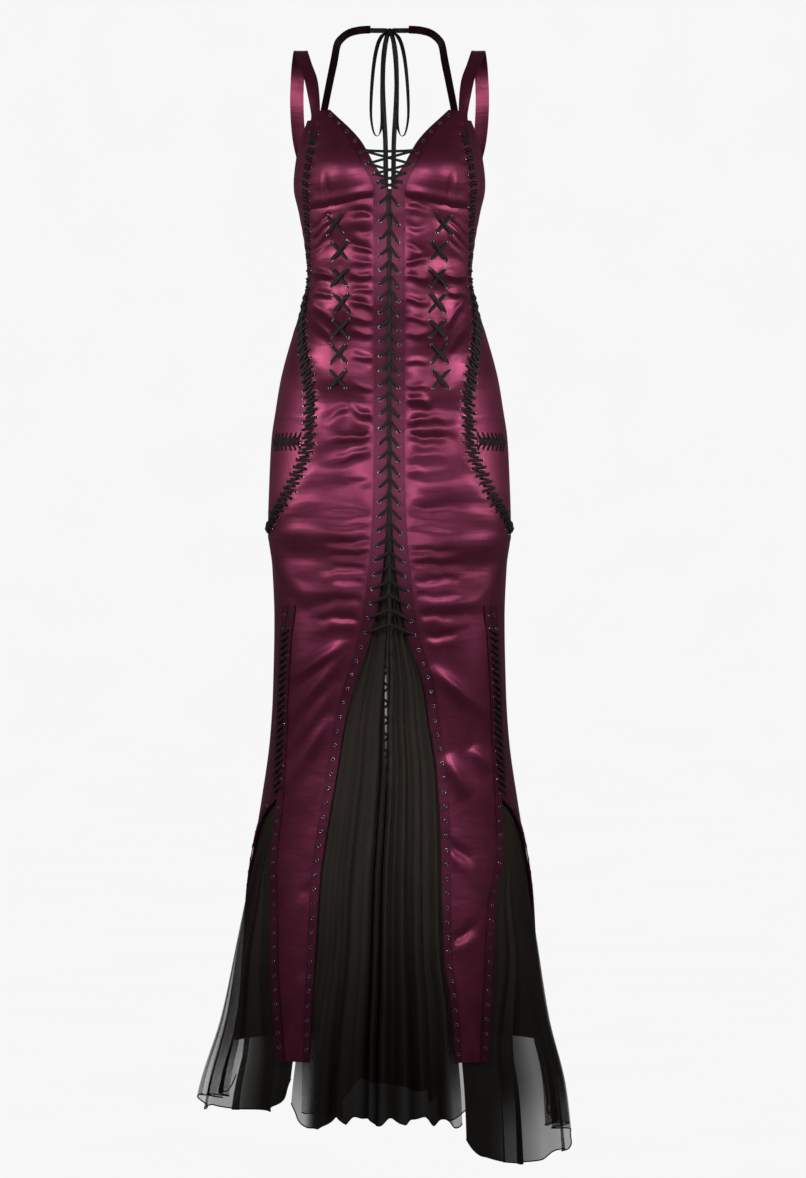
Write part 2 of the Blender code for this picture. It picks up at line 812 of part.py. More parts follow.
def make_hip_lace(side):
    """Ladder of lace along the curved seam of the hip."""
    spacing = 0
    path = []
    z = HIP_LACE_TOP_Z
    last = None
    while z > HIP_LACE_END_Z:
        place = outline(side, side_seam(side, z), z)
        if last is not None:
            spacing += (place - last).length
        last = place
        path.append((spacing, z))
        z -= 1.0
    bars = int(path[-1][0] / HIP_LACE_PITCH)

    def level_at(distance):
        return min(path, key=lambda step: abs(step[0] - distance))[1]

    def at(distance, off):
        z = level_at(distance)
        angle = side_seam(side, z)
        per_mm = turn_for(1, side, angle, z)
        run = Vector(((side_seam(side, z - 2) - side_seam(side, z + 2)) / per_mm, -4))
        run.normalize()
        return lay(side, angle + run.y * -off * per_mm, z + run.x * off, HIP_LACE_LIFT)

    cells = []
    for i in range(bars):
        start = i * HIP_LACE_PITCH
        cuts = (start, start + LACE_WIDTH, start + HIP_LACE_PITCH)
        ends = (-HIP_LACE_REACH, -1.5, 1.5, HIP_LACE_REACH)
        for k in range(3):
            cells.append((at(cuts[0], ends[k]), at(cuts[1], ends[k]),
                          at(cuts[1], ends[k + 1]), at(cuts[0], ends[k + 1])))
        if i < bars - 1:
            cells.append((at(cuts[1], -1.5), at(cuts[2], -1.5), at(cuts[2], 1.5), at(cuts[1], 1.5)))
    sheet("hip_lace_" + side_name(side), cells, from_axis, LACE_WALL, LACE_BLACK, 0.7)


def make_hip_bar(side):
    """Short row of lace that runs across the hip panel to its curved seam."""
    cells = []
    start = side_seam(side, HIP_BAR_Z) + turn_for(HIP_LACE_REACH + 6, side, 60, HIP_BAR_Z)
    pitch = turn_for(HIP_BAR_PITCH, side, 70, HIP_BAR_Z)

    def at(angle, off):
        return skin(side, angle, HIP_BAR_Z + off, HIP_BAR_LIFT)

    for i in range(HIP_BAR_TEETH):
        left = start + i * pitch
        cuts = (left, left + pitch * 0.55, left + pitch)
        marks = (-7, -2.2, 2.2, 7)
        for k in range(3):
            cells.append((at(cuts[0], marks[k]), at(cuts[1], marks[k]),
                          at(cuts[1], marks[k + 1]), at(cuts[0], marks[k + 1])))
        if i < HIP_BAR_TEETH - 1:
            cells.append((at(cuts[1], -2.2), at(cuts[2], -2.2), at(cuts[2], 2.2), at(cuts[1], 2.2)))
    sheet("hip_bar_lace_" + side_name(side), cells, from_axis, LACE_WALL, LACE_BLACK, 0.7)


def make_x_laces(side):
    """Column of crossed laces on the front panel."""
    rows = panel_rows(side, levels_between(UNDERBUST_Z, RUCHE_END_Z - 30), front_angles, X_LACE_LIFT)

    def at(x, z):
        line = []
        for i in range(len(rows[0])):
            for upper, lower in zip(rows, rows[1:]):
                if upper[i].z >= z >= lower[i].z:
                    line.append(upper[i].lerp(lower[i], (upper[i].z - z) / (upper[i].z - lower[i].z)))
                    break
        for left, right in zip(line, line[1:]):
            if abs(left.x) <= x <= abs(right.x):
                return left.lerp(right, (x - abs(left.x)) / (abs(right.x) - abs(left.x)))
        raise ValueError("a crossed lace lies off its panel")

    for i, (level, across) in enumerate(zip(X_LACE_LEVELS, X_LACE_ACROSS)):
        half = LACE_WIDTH / 2 * math.sqrt(2)
        tip = LACE_WIDTH / 2 / math.sqrt(2)
        heart = ((half, 0), (0, half), (-half, 0), (0, -half))
        cells = [tuple(at(across + u, level + v) for u, v in heart)]
        for k in range(4):
            a = heart[k]
            b = heart[(k + 1) % 4]
            u = math.copysign(X_LACE_REACH, a[0] + b[0])
            v = math.copysign(X_LACE_REACH, a[1] + b[1])
            ends = ((u + math.copysign(tip, a[0] - b[0]), v + math.copysign(tip, a[1] - b[1])),
                    (u - math.copysign(tip, a[0] - b[0]), v - math.copysign(tip, a[1] - b[1])))
            corners = (a, ends[0], ends[1], b)
            cells.append(tuple(at(across + u, level + v) for u, v in corners))
        name = "cross_lace_%s_%d" % (side_name(side), i + 1)
        sheet(name, cells, from_axis, LACE_WALL, LACE_BLACK, 0.7)


def front_place(x, z, lift):
    """Point over the front, straight across the gap between the two bands."""
    side = -1 if x < 0 else 1
    edge = read_table(FRONT_EDGE, column(side), z)
    if abs(x) >= edge:
        return skin(side, angle_at(x, z), z, lift)
    left = skin(-1, angle_at(read_table(FRONT_EDGE, 1, z), z), z, lift)
    right = skin(1, angle_at(read_table(FRONT_EDGE, 2, z), z), z, lift)
    share = (x - left.x) / (right.x - left.x)
    return left.lerp(right, min(max(share, 0), 1))


def make_front_lace():
    """Spine of lace down the front opening, with a slanting arm to each eyelet."""
    cells = []
    for i in range(FRONT_LACE_ROWS):
        top = FRONT_LACE_TOP_Z - i * EYELET_PITCH
        cuts = (top, top - LACE_WIDTH, top - EYELET_PITCH)

        def at(x, z):
            return front_place(x, z, FRONT_LACE_LIFT)

        spine = FRONT_LACE_SPINE
        cells.append((at(-spine, cuts[0]), at(-spine, cuts[1]), at(spine, cuts[1]), at(spine, cuts[0])))
        if i < FRONT_LACE_ROWS - 1:
            cells.append((at(-spine, cuts[1]), at(-spine, cuts[2]), at(spine, cuts[2]), at(spine, cuts[1])))
        for side in (-1, 1):
            low = top - FRONT_LACE_DROP
            end = read_table(FRONT_EDGE, column(side), low) + read_table(BAND_WIDTH, 1, low) * 0.55
            cells.append((at(side * spine, cuts[0]), at(side * spine, cuts[1]),
                          at(side * end, low - LACE_WIDTH), at(side * end, low)))
    sheet("front_lace", cells, from_axis, LACE_WALL, LACE_BLACK, 0.7)


def make_neck_lace():
    """Two laces that cross in the open neck between the bands."""
    for name, first, lift in (("neck_lace_under", -1, LACE_LIFT + 0.3), ("neck_lace_over", 1, LACE_LIFT + 2.2)):
        rows = []
        side = first
        for (x0, z0), (x1, z1) in zip(NECK_LACE, NECK_LACE[1:]):
            for share in (0, 0.13, 0.3, 0.5, 0.7, 0.87):
                x = side * (x0 + (-x1 - x0) * share)
                z = z0 + (z1 - z0) * share
                rows.append((x, z))
            side = -side
        rows.append((side * NECK_LACE[-1][0], NECK_LACE[-1][1]))
        strips = []
        for i, (x, z) in enumerate(rows):
            before = rows[max(i - 1, 0)]
            after = rows[min(i + 1, len(rows) - 1)]
            run = Vector((after[0] - before[0], after[1] - before[1])).normalized()
            if abs(run.y) > 0.75:
                run = Vector((0, -1))
            strips.append([front_place(x - run.y * 2, z + run.x * 2, lift),
                           front_place(x + run.y * 2, z - run.x * 2, lift)])
        sheet(name, grid_cells(strips), from_axis, LACE_WALL, LACE_BLACK, 0.7)


def back_place(x, z, lift):
    side = -1 if x < 0 else 1
    edge = read_table(BACK_CENTRE, 1, z)
    if abs(x) >= edge:
        return skin(side, angle_at(x, z, back=True), z, lift)
    left = skin(-1, angle_at(edge, z, back=True), z, lift)
    right = skin(1, angle_at(edge, z, back=True), z, lift)
    return left.lerp(right, (x - left.x) / (right.x - left.x))


def make_back_laces():
    """Two laces that cross down the gap of the back."""
    mitre = LACE_WIDTH / 2 * math.hypot(2 * BACK_LACE_REACH, BACK_LACE_PITCH) / BACK_LACE_PITCH
    for name, first, lift in (("back_lace_under", -1, LACE_LIFT + 1.5), ("back_lace_over", 1, LACE_LIFT + 3.4)):
        strips = []
        side = first
        z = BACK_LACE_TOP_Z
        while z > BACK_LACE_END_Z:
            x = side * BACK_LACE_REACH
            strips.append([back_place(x - mitre, z, lift), back_place(x + mitre, z, lift)])
            z -= BACK_LACE_PITCH
            side = -side
        sheet(name, grid_cells(strips), from_axis, LACE_WALL, LACE_BLACK, 0.7)


def main():
    make_godets()
    for side in (-1, 1):
        make_panels(side)
        make_bands(side)
        make_straps(side)
        make_hip_lace(side)
        make_hip_bar(side)
        make_x_laces(side)
    make_front_lace()
    make_neck_lace()
    make_back_laces()
    make_neck_tie()


for old in list(bpy.data.objects):
    bpy.data.objects.remove(old, do_unlink=True)
gown = bpy.data.collections.new("corset_gown")
bpy.context.scene.collection.children.link(gown)
main()
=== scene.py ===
"""Looks of the laced corset gown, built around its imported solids.

Lengths and points are in millimetres, made metres by MM where a mesh is made, and the stage's are in
metres. The front faces -Y, and +X is the right side seen from the front. An angle runs round the body
from 0 at the centre front to 180 at the centre back, on either side.
"""

import math
from functools import lru_cache

import bpy
import numpy as np
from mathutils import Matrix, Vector


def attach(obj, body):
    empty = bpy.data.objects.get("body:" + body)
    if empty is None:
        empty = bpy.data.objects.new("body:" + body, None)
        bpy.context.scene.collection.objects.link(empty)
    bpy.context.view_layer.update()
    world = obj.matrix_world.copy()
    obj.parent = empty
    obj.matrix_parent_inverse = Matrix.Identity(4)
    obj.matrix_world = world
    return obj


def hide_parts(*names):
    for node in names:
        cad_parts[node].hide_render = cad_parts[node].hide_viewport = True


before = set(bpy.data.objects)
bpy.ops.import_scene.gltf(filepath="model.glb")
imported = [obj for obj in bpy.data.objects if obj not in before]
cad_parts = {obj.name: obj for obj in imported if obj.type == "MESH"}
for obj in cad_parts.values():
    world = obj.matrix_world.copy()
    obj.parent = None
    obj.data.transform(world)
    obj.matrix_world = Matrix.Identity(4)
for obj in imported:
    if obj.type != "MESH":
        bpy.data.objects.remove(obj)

bl_info = {
    "name": "Laced Corset Gown",
    "version": (1, 0, 0),
    "blender": (4, 5, 0),
    "location": "View3D > Sidebar > Gown",
    "description": "Satin gown with laced eyelet bands, straps, a nape tie and chiffon godets",
    "category": "Add Mesh",
}

MM = 0.001
# Each side, and what its pieces' names end with
SIDES = ((-1, "_left"), (1, "_right"))

SATIN_WALL = 1.2
CHIFFON_WALL = 0.8
STRAP_WALL = 1.5
SEAM_GAP = 0.4
SEAM_BOW = 12
BAND_LIFT = 1.6
LACE_LIFT = 3.2
GODET_SINK = -2.3
SIDE_GODET_SINK = -3.3
SHARP_EDGE = 50
# Pitch of the stitches and radius of their thread
BAND_STITCH = (4.2, 0.32)
FINE_STITCH = (3.6, 0.28)

APEX_Z = -91
UNDERBUST_Z = -225
RIM_Z = -215
BUST_STITCH_LEVELS = (-219.5, -230.5)
BACK_TOP_Z = -206
GODET_TOP_Z = -700
SIDE_GODET_TOP_Z = -1036
BACK_GODET_TOP_Z = -1030
BACK_HEM_Z = -1512
HIP_PANEL_TOP_Z = -103
HIP_PANEL_END_Z = -684
SLIT_TOP_Z = -774
SLIT_END_Z = -1043
PANEL_HEM_Z = -1395
REACH_TOP_Z = -1230
FRONT_REACH = (4.6, 0.3)
LEFT_REACH = (4.6, 4.6)
RIGHT_REACH = (8.8, 4.6)
BACK_REACH = 4.6
LEFT_FLARE = 22
GODET_TUCK = 5
TRAIN_REACH = 90
FRONT_WAVES = 7
SIDE_WAVES = 4
BACK_WAVES = 5
FRONT_DEPTH = 30
SIDE_DEPTH = 26
# Rows down and columns across each godet
FRONT_GRID = (150, 180)
SIDE_GRID = (90, 140)
BACK_GRID = (100, 180)

# Level, half width, depth to the front, depth to the back, squareness of the outline
SECTIONS = (
    (-60, 118, 84, 62, 2.4),
    (-91, 124, 98, 66, 2.5),
    (-137, 131, 102, 72, 2.5),
    (-190, 133, 104, 80, 2.4),
    (-225, 126, 102, 79, 2.3),
    (-270, 118, 96, 76, 2.2),
    (-312, 114, 93, 74, 2.2),
    (-354, 121, 94, 84, 2.2),
    (-396, 134, 98, 96, 2.3),
    (-459, 151, 103, 110, 2.3),
    (-501, 158, 105, 119, 2.3),
    (-543, 164, 106, 125, 2.3),
    (-600, 167, 106, 126, 2.3),
    (-669, 169, 106, 120, 2.3),
    (-720, 163, 104, 113, 2.3),
    (-795, 160, 104, 105, 2.3),
    (-896, 162, 107, 104, 2.3),
    (-960, 166, 112, 109, 2.3),
    (-1047, 178, 126, 124, 2.3),
    (-1148, 195, 145, 148, 2.3),
    (-1249, 211, 167, 178, 2.3),
    (-1350, 228, 189, 216, 2.2),
    (-1450, 254, 205, 262, 2.2),
    (-1540, 266, 210, 300, 2.2),
)

# Level, distance of the front's inner edge from the centre plane: left, right
FRONT_EDGE = (
    (-91, 81, 81),
    (-103, 69, 69),
    (-115, 57, 57),
    (-126, 47, 47),
    (-137, 38.5, 38.5),
    (-148, 32, 32),
    (-166, 22.5, 22.5),
    (-184, 12, 12),
    (-198, 7, 7),
    (-212, 3, 3),
    (-240, 1.6, 1.6),
    (-560, 1.6, 1.6),
    (-640, 3, 3),
    (-685, 5.5, 5.5),
    (-733, 10, 10),
    (-779, 17, 17),
    (-822, 27, 27),
    (-885, 47, 47),
    (-939, 61, 55),
    (-1002, 71, 65),
    (-1098, 87, 70),
    (-1150, 94, 71),
    (-1250, 100, 74),
    (-1317, 104, 83),
    (-1395, 107, 89),
)

# Level, width of the eyelet band along the front edge
BAND_WIDTH = (
    (-91, 12),
    (-137, 15),
    (-184, 18),
    (-240, 20),
    (-733, 20),
    (-822, 16),
    (-1043, 14),
    (-1395, 9),
)

# Level, angle of the laced seam at the side: left, right
SIDE_SEAM = (
    (-91, 61, 61),
    (-113, 55, 55),
    (-134, 56, 56),
    (-174, 60, 60),
    (-204, 63, 63),
    (-235, 67, 67),
    (-270, 73, 73),
    (-312, 76, 76),
    (-354, 75, 75),
    (-380, 71, 71),
    (-401, 66, 66),
    (-421, 62, 62),
    (-455, 56.5, 56.5),
    (-500, 52.5, 52.5),
    (-545, 52.5, 52.5),
    (-567, 54.5, 54.5),
    (-593, 59, 59),
    (-615, 63.5, 63.5),
    (-636, 69.5, 69.5),
    (-660, 78, 78),
    (-684, 89, 89),
    (-710, 82, 82),
    (-740, 73, 73),
    (-774, 66.5, 66.5),
    (-822, 69, 69),
    (-905, 70, 70),
    (-960, 68.7, 68.7),
    (-1043, 65, 65),
    (-1118, 63, 60),
    (-1185, 58, 51.5),
    (-1322, 49, 42.5),
    (-1395, 43.5, 38.5),
)

# Level, angle of the back panel's free edge below the slit
BACK_EDGE = (
    (-1043, 65),
    (-1060, 72),
    (-1098, 82),
    (-1148, 91),
    (-1228, 103),
    (-1300, 110),
    (-1395, 116),
)

# Level, angle of the armhole's edge
ARMHOLE = (
    (-91, 62),
    (-104, 63.5),
    (-126, 69),
    (-151, 75),
    (-174, 82),
    (-190, 91),
    (-196, 100),
    (-201, 108.5),
    (-206, 116.5),
)

# Level, distance of the back's inner edge from the centre plane
BACK_CENTRE = ((-206, 7), (-1043, 7), (-1100, 26), (-1180, 52), (-1300, 84), (-1395, 104))

# Signed angle, level of the chiffon's hem
HEM = (
    (-180, -1512),
    (-130, -1482),
    (-95, -1464),
    (-62, -1468),
    (-42, -1450),
    (-28, -1484),
    (-12, -1470),
    (0, -1476),
    (14, -1472),
    (22, -1476),
    (27, -1504),
    (36, -1524),
    (60, -1534),
    (76, -1528),
    (95, -1508),
    (130, -1500),
    (180, -1512),
)

TABLES = {
    "section": SECTIONS,
    "front_edge": FRONT_EDGE,
    "band": BAND_WIDTH,
    "seam": SIDE_SEAM,
    "back_edge": BACK_EDGE,
    "armhole": ARMHOLE,
    "back_centre": BACK_CENTRE,
    "hem": HEM,
}

# Bust's fullness: middle across, middle level, radius across, radius in height, depth
BUST = (64, -172, 46, 44, 15)

# Drag folds: side, start across and level, end across and level, height
DRAG_FOLDS = (
    (-1, 54, -822, 138, -880, 4),
    (-1, 56, -836, 140, -935, 4),
    (-1, 70, -880, 140, -985, 3),
    (-1, 80, -925, 146, -1036, 4),
    (1, 54, -858, 136, -928, 4),
    (1, 78, -980, 108, -1040, 3),
    (1, 112, -970, 142, -1005, 3),
)
DRAG_FOLD_RADIUS = 11
SHARP_FOLD_RADIUS = 7
SHARP_FOLD_SHARE = 0.5

RUCHE_TOP_Z = -232
RUCHE_END_Z = -800
RUCHE_PITCH = 86
RUCHE_HEIGHT = 2.4

# Creases of the front: side, inner end across and level, outer end across and level, depth, half width
CREASES = (
    (-1, 22, -246, 60, -233, 3.0, 5),
    (-1, 22, -263, 56, -259, 1.6, 4),
    (-1, 22, -286, 61, -276, 3.2, 5),
    (-1, 22, -304, 56, -301, 1.5, 4),
    (-1, 22, -320, 60, -318, 3.2, 5),
    (-1, 22, -341, 60, -339, 1.8, 4),
    (-1, 22, -362, 60, -354, 3.2, 5),
    (-1, 22, -382, 58, -378, 1.6, 4),
    (-1, 22, -401, 60, -396, 2.6, 5),
    (-1, 22, -436, 58, -431, 2.2, 5),
    (-1, 78, -231, 114, -262, 2.2, 4),
    (-1, 78, -247, 114, -276, 2.6, 4),
    (-1, 80, -263, 114, -288, 1.8, 4),
    (-1, 76, -319, 114, -308, 3.6, 5),
    (-1, 76, -345, 112, -338, 2.4, 5),
    (-1, 76, -382, 112, -352, 2.6, 7),
    (-1, 78, -410, 112, -372, 2.0, 6),
    (-1, 22, -480, 56, -470, 1.6, 4),
    (-1, 22, -515, 57, -501, 3.6, 7),
    (-1, 54, -502, 94, -518, 2.6, 6),
    (-1, 22, -540, 96, -548, 3.4, 7),
    (-1, 22, -562, 102, -580, 2.8, 7),
    (-1, 22, -606, 90, -612, 1.2, 8),
    (-1, 22, -640, 104, -641, 1.8, 9),
    (-1, 22, -662, 112, -665, 1.6, 6),
    (-1, 22, -686, 104, -690, 2.0, 6),
    (-1, 24, -704, 92, -707, 1.8, 5),
    (-1, 26, -722, 108, -727, 2.2, 6),
    (-1, 28, -741, 96, -743, 1.8, 5),
    (-1, 32, -766, 116, -771, 2.2, 7),
    (-1, 38, -792, 122, -794, 2.4, 6),
    (1, 22, -230, 64, -235, 2.6, 4),
    (1, 22, -257, 56, -255, 2.0, 4),
    (1, 22, -277, 54, -285, 2.0, 4),
    (1, 22, -300, 60, -294, 3.4, 5),
    (1, 22, -321, 60, -323, 3.0, 5),
    (1, 22, -352, 60, -357, 2.8, 5),
    (1, 22, -378, 58, -381, 1.8, 4),
    (1, 22, -402, 60, -398, 2.4, 5),
    (1, 22, -441, 60, -436, 2.0, 4),
    (1, 78, -238, 114, -270, 2.6, 4),
    (1, 78, -252, 114, -285, 2.4, 4),
    (1, 80, -267, 114, -299, 2.0, 4),
    (1, 77, -321, 114, -317, 3.4, 5),
    (1, 77, -346, 113, -338, 2.4, 5),
    (1, 80, -392, 112, -334, 3.0, 7),
    (1, 80, -424, 114, -384, 1.8, 6),
    (1, 22, -470, 58, -474, 1.6, 4),
    (1, 22, -492, 64, -495, 4.0, 7),
    (1, 22, -520, 102, -516, 4.2, 8),
    (1, 22, -541, 102, -545, 3.2, 7),
    (1, 22, -570, 90, -566, 1.4, 8),
    (1, 22, -592, 106, -590, 2.2, 8),
    (1, 22, -642, 122, -642, 2.4, 10),
    (1, 22, -664, 112, -669, 1.6, 6),
    (1, 24, -701, 104, -698, 1.8, 6),
    (1, 25, -720, 112, -716, 2.0, 6),
    (1, 27, -742, 112, -738, 2.0, 5),
    (1, 31, -763, 118, -760, 2.2, 6),
    (1, 36, -790, 120, -786, 2.2, 7),
    (1, 46, -820, 118, -808, 2.0, 6),
    (1, 78, -1100, 120, -1126, 3.0, 9),
    (-1, 98, -1150, 130, -1180, 1.6, 8),
    (-1, 100, -1250, 128, -1290, 1.8, 9),
    (1, 86, -1230, 126, -1214, 2.4, 9),
)
# Creases of the back, in the same columns
BACK_CREASES = (
    (0, 24, -262, 96, -256, 1.8, 6),
    (0, 24, -284, 100, -288, 2.4, 6),
    (0, 24, -306, 98, -302, 2.6, 5),
    (0, 24, -330, 96, -336, 2.2, 6),
    (0, 24, -356, 90, -350, 1.6, 7),
    (0, 24, -640, 120, -606, 1.8, 10),
    (0, 24, -672, 124, -652, 2.0, 9),
    (0, 24, -700, 118, -694, 1.8, 8),
    (0, 24, -760, 110, -776, 1.6, 9),
    (0, 24, -842, 120, -880, 1.6, 10),
    (0, 24, -930, 124, -968, 1.6, 10),
)
# Bust darts: side, top across and level, lower end across and level, depth, half width
DARTS = (
    (-1, 89, -172, 81, -224, 2.6, 3.2),
    (1, 88, -172, 78, -224, 2.6, 3.2),
)
RIM_ROLL = 1.6
COLUMN_GROOVE = 1.6
COLUMN_TOP_Z = -238
COLUMN_END_Z = -480
COLUMN_PITCH = 36

EYELET_PITCH = 20
EYELET_SHARE = 0.55
# Radius of each eyelet's ring and of its rolled wire
EYELET_SIZES = {"front": (2.1, 0.85), "seam": (1.9, 0.7), "slit": (2.1, 0.75), "back": (2.1, 0.75)}
X_LACE_LEVELS = (-249, -285, -322, -357, -393, -428, -463)
X_LACE_ACROSS = (74, 69, 67, 66, 67, 69, 71)
X_LACE_REACH = 11
HIP_LACE_TOP_Z = -345
HIP_LACE_END_Z = -676
HIP_LACE_PITCH = 17
HIP_LACE_REACH = 9
SIDE_LACE_REACH = 6
HIP_BAR_Z = -548
HIP_BAR_PITCH = 8.5
HIP_BAR_TEETH = 7
FRONT_LACE_TOP_Z = -222
FRONT_LACE_END_Z = -806
FRONT_LACE_ROWS = 30
FRONT_LACE_DROP = 10
RIGHT_ROW_DROP = 4
NECK_LACE = ((38, -150), (29, -168), (20, -184), (14.5, -199), (12, -211))
BACK_LACE_TOP_Z = -232
BACK_LACE_END_Z = -1035
BACK_LACE_PITCH = 24
BACK_LACE_REACH = 16
SLIT_PITCH = 19
# Runs of laces and eyelets: top, end and, where they follow a line, the distance between two
HIP_LACE_RUN = (HIP_LACE_TOP_Z, HIP_LACE_END_Z, HIP_LACE_PITCH * 0.68)
SIDE_LACE_RUN = (-122, HIP_LACE_TOP_Z + 6, 11.5)
NECK_EYELET_RUN = (-99, -216, 18)
SLIT_LACE_RUN = (-812, -1036)
LACE_RADII = {"front": 2.1, "neck": 1.9, "crossed": 1.5, "hip": 2.0, "side_seam": 1.6, "hip_bar": 1.0,
              "slit": 1.3, "back": 1.9}

STRAP_WIDTH = 19
STRAP_SINK = -(STRAP_WALL + 1.5)
HALTER_SINK = -0.9
HALTER_WIDTH = 11
RIBBON_WIDTH = 7
KNOT_AT = (0, 63, 36)
KNOT_HALF_SIZE = (6.82, 5.6, 5.28)
NECK_RIBBON_WALL = 1.0
BOW_RIBBON_WALL = 0.6
RIBBON_STEPS = 5

# Routes on the right: a point, and which way the width of the strap or ribbon lies there
SHOULDER_ROUTE = (
    ((108, -52, -48), (1, 0.4, 0)),
    ((117, -33, -22), (1, 0.2, 0)),
    ((122.5, -14, -5), (1, 0.1, 0)),
    ((124.5, 0, 0), (1, 0, 0)),
    ((126.5, 13, -6), (1, 0, 0)),
    ((129, 25, -26), (1, 0, 0)),
    ((130.5, 32, -70), (1, -0.1, 0)),
    ((127, 32, -120), (1, -0.3, 0)),
)
HALTER_ROUTE = (
    ((82.5, -54, -46), (1, 0.5, 0.1)),
    ((77, -32, -16), (1, 0.3, 0.3)),
    ((73.5, -8, 7), (1, 0.2, 0.6)),
    ((69, 16, 19), (0.7, 0.1, 0.9)),
    ((58, 39, 31), (0.4, 0, 1)),
    ((43, 52, 37), (0.2, 0, 1)),
    ((27, 59, 39), (0, 0, 1)),
)
NECK_ROUTE = (
    ((33, 59.4, 38), (0, 0, 1)),
    ((22, 62.2, 38), (0, 0, 1)),
    ((4, 63, 38), (0, 0, 1)),
)
# The bow loop and the hanging end start inside the knot
LOOP_ROUTE = (
    ((1.5, 63, 36), (0.9, 0.4, 0)),
    ((10.1, 60.5, 31.4), (0.9, 0.4, 0)),
    ((17.2, 59, 17), (0.8, 0.6, 0)),
    ((22.5, 59, -10), (0.7, 0.7, 0)),
    ((26, 60, -50), (0.6, 0.8, 0)),
    ((26.5, 61, -85), (0.45, 0.9, 0.1)),
    ((22, 62, -108), (0.3, 0.95, 0.1)),
    ((15, 62, -110), (0.2, 0.98, 0)),
    ((10.5, 61, -92), (0.6, 0.8, 0.1)),
    ((10, 60, -50), (0.9, 0.45, 0)),
    ((9, 59, -10), (0.95, 0.3, 0)),
    ((6, 58, 20), (1, 0, 0)),
)
END_ROUTE = (
    ((1, 64, 35.5), (1, 0.1, 0)),
    ((4.3, 66.3, 28.3), (1, 0.1, 0)),
    ((8.5, 70, 4), (0.98, 0.2, 0)),
    ((10, 73, -35), (0.95, 0.3, 0)),
    ((8.5, 76, -75), (1, 0, 0)),
    ((6, 80, -115), (0.96, -0.25, 0)),
    ((5.5, 84.5, -155), (0.98, -0.2, 0)),
    ((5.5, 90, -200), (1, 0, 0)),
    ((5.5, 92, -245), (0.97, 0.2, 0)),
)

CAMERA_AT = (0.0189, -6.0, -0.752)
CAMERA_LENS = 36 * 6000 / (1178 * 1.4)
FLOOR_Z = -1.60
PAPER_RADIUS = 9.0
PAPER_BEND = 3.0
PAPER_TOP_Z = 10.0
PAPER_SIDES = 64


def linear(hex_colour):
    """Linear colour with alpha from an sRGB hex value."""
    parts = [int(hex_colour[i:i + 2], 16) / 255 for i in (1, 3, 5)]
    return tuple(c / 12.92 if c <= 0.04045 else ((c + 0.055) / 1.055) ** 2.4 for c in parts) + (1.0,)


def read_table(table, column, at):
    """Smooth value of a column at a level or angle, through the table's rows."""
    keys = [row[0] for row in table]
    if keys[0] > keys[-1]:
        keys = [-key for key in keys]
        at = -at
    if at <= keys[0]:
        return table[0][column]
    if at >= keys[-1]:
        return table[-1][column]
    low = max(i for i, key in enumerate(keys[:-1]) if key <= at)
    values = [row[column] for row in table]

    def slope(i):
        before = max(i - 1, 0)
        after = min(i + 1, len(keys) - 1)
        left = (values[i] - values[before]) / (keys[i] - keys[before]) if i > before else None
        right = (values[after] - values[i]) / (keys[after] - keys[i]) if after > i else None
        if left is None or right is None or left * right <= 0:
            return 0 if left is not None and right is not None else (left if right is None else right)
        return 2 * left * right / (left + right)

    span = keys[low + 1] - keys[low]
    t = (at - keys[low]) / span
    a = values[low]
    b = values[low + 1]
    ease = t * t * (3 - 2 * t)
    return (a + (b - a) * ease
            + slope(low) * span * t * (1 - t) * (1 - t)
            - slope(low + 1) * span * t * t * (1 - t))


@lru_cache(maxsize=None)
def sampled(name, column):
    """A table's column at each whole level or degree."""
    grid = np.arange(-180.0, 181.0) if name == "hem" else np.arange(-1600.0, -39.0)
    return grid, np.array([read_table(TABLES[name], column, at) for at in grid])


def value(name, column, at):
    """Values of a table's column at an array of levels."""
    grid, values = sampled(name, column)
    return np.interp(at, grid, values)


def ease_out(share):
    """Smooth step of a share from 0 to 1."""
    share = np.clip(share, 0, 1)
    return share * share * (3 - 2 * share)


def column(side):
    """Column of a side's values in a table that has both."""
    return 1 if side < 0 else 2


def side_seam(side, z):
    """Angle of the laced side seam."""
    return value("seam", column(side), z)


def front_edge(side, z):
    """Distance of the front's inner edge from the centre plane."""
    return value("front_edge", column(side), z)


def outline(side, angle, z):
    """Points of the plain body at angles and levels, before folds."""
    angle, z = np.broadcast_arrays(np.asarray(angle, float), np.asarray(z, float))
    depth = np.where(angle <= 90, value("section", 2, z), value("section", 3, z))
    power = value("section", 4, z)
    turn = np.radians(angle)
    across = np.abs(np.sin(turn)) / value("section", 1, z)
    along = np.abs(np.cos(turn)) / depth
    reach = (across ** power + along ** power) ** (-1 / power)
    x = reach * np.sin(turn)
    y = -reach * np.cos(turn)
    middle, level, round_x, round_z, full = BUST
    bust = full * np.exp(-((x - middle) / round_x) ** 2 - ((z - level) / round_z) ** 2)
    return np.stack([side * x, y - np.where(angle < 90, bust, 0), z], -1)


def outward(side, angle, z):
    """Unit vectors square to the plain body."""
    round_it = outline(side, np.minimum(angle + 1, 180), z) - outline(side, np.maximum(angle - 1, 0), z)
    down_it = outline(side, angle, z - 3) - outline(side, angle, z + 3)
    square = np.cross(down_it, round_it) * np.asarray(side)[..., None]
    return square / np.linalg.norm(square, axis=-1, keepdims=True)


def angle_at(x, z, back=False):
    """Angle of the point that lies this far from the centre plane."""
    width = value("section", 1, z)
    depth = value("section", 3 if back else 2, z)
    power = value("section", 4, z)
    share = np.minimum(np.abs(x) / width, 0.999)
    turn = np.degrees(np.arctan2(np.abs(x), depth * (1 - share ** power) ** (1 / power)))
    return 180 - turn if back else turn


def turn_for(width, side, angle, z):
    """Change of angle that covers a width on the cloth."""
    step = outline(side, angle + 0.5, z) - outline(side, angle - 0.5, z)
    return width / np.linalg.norm(step, axis=-1)


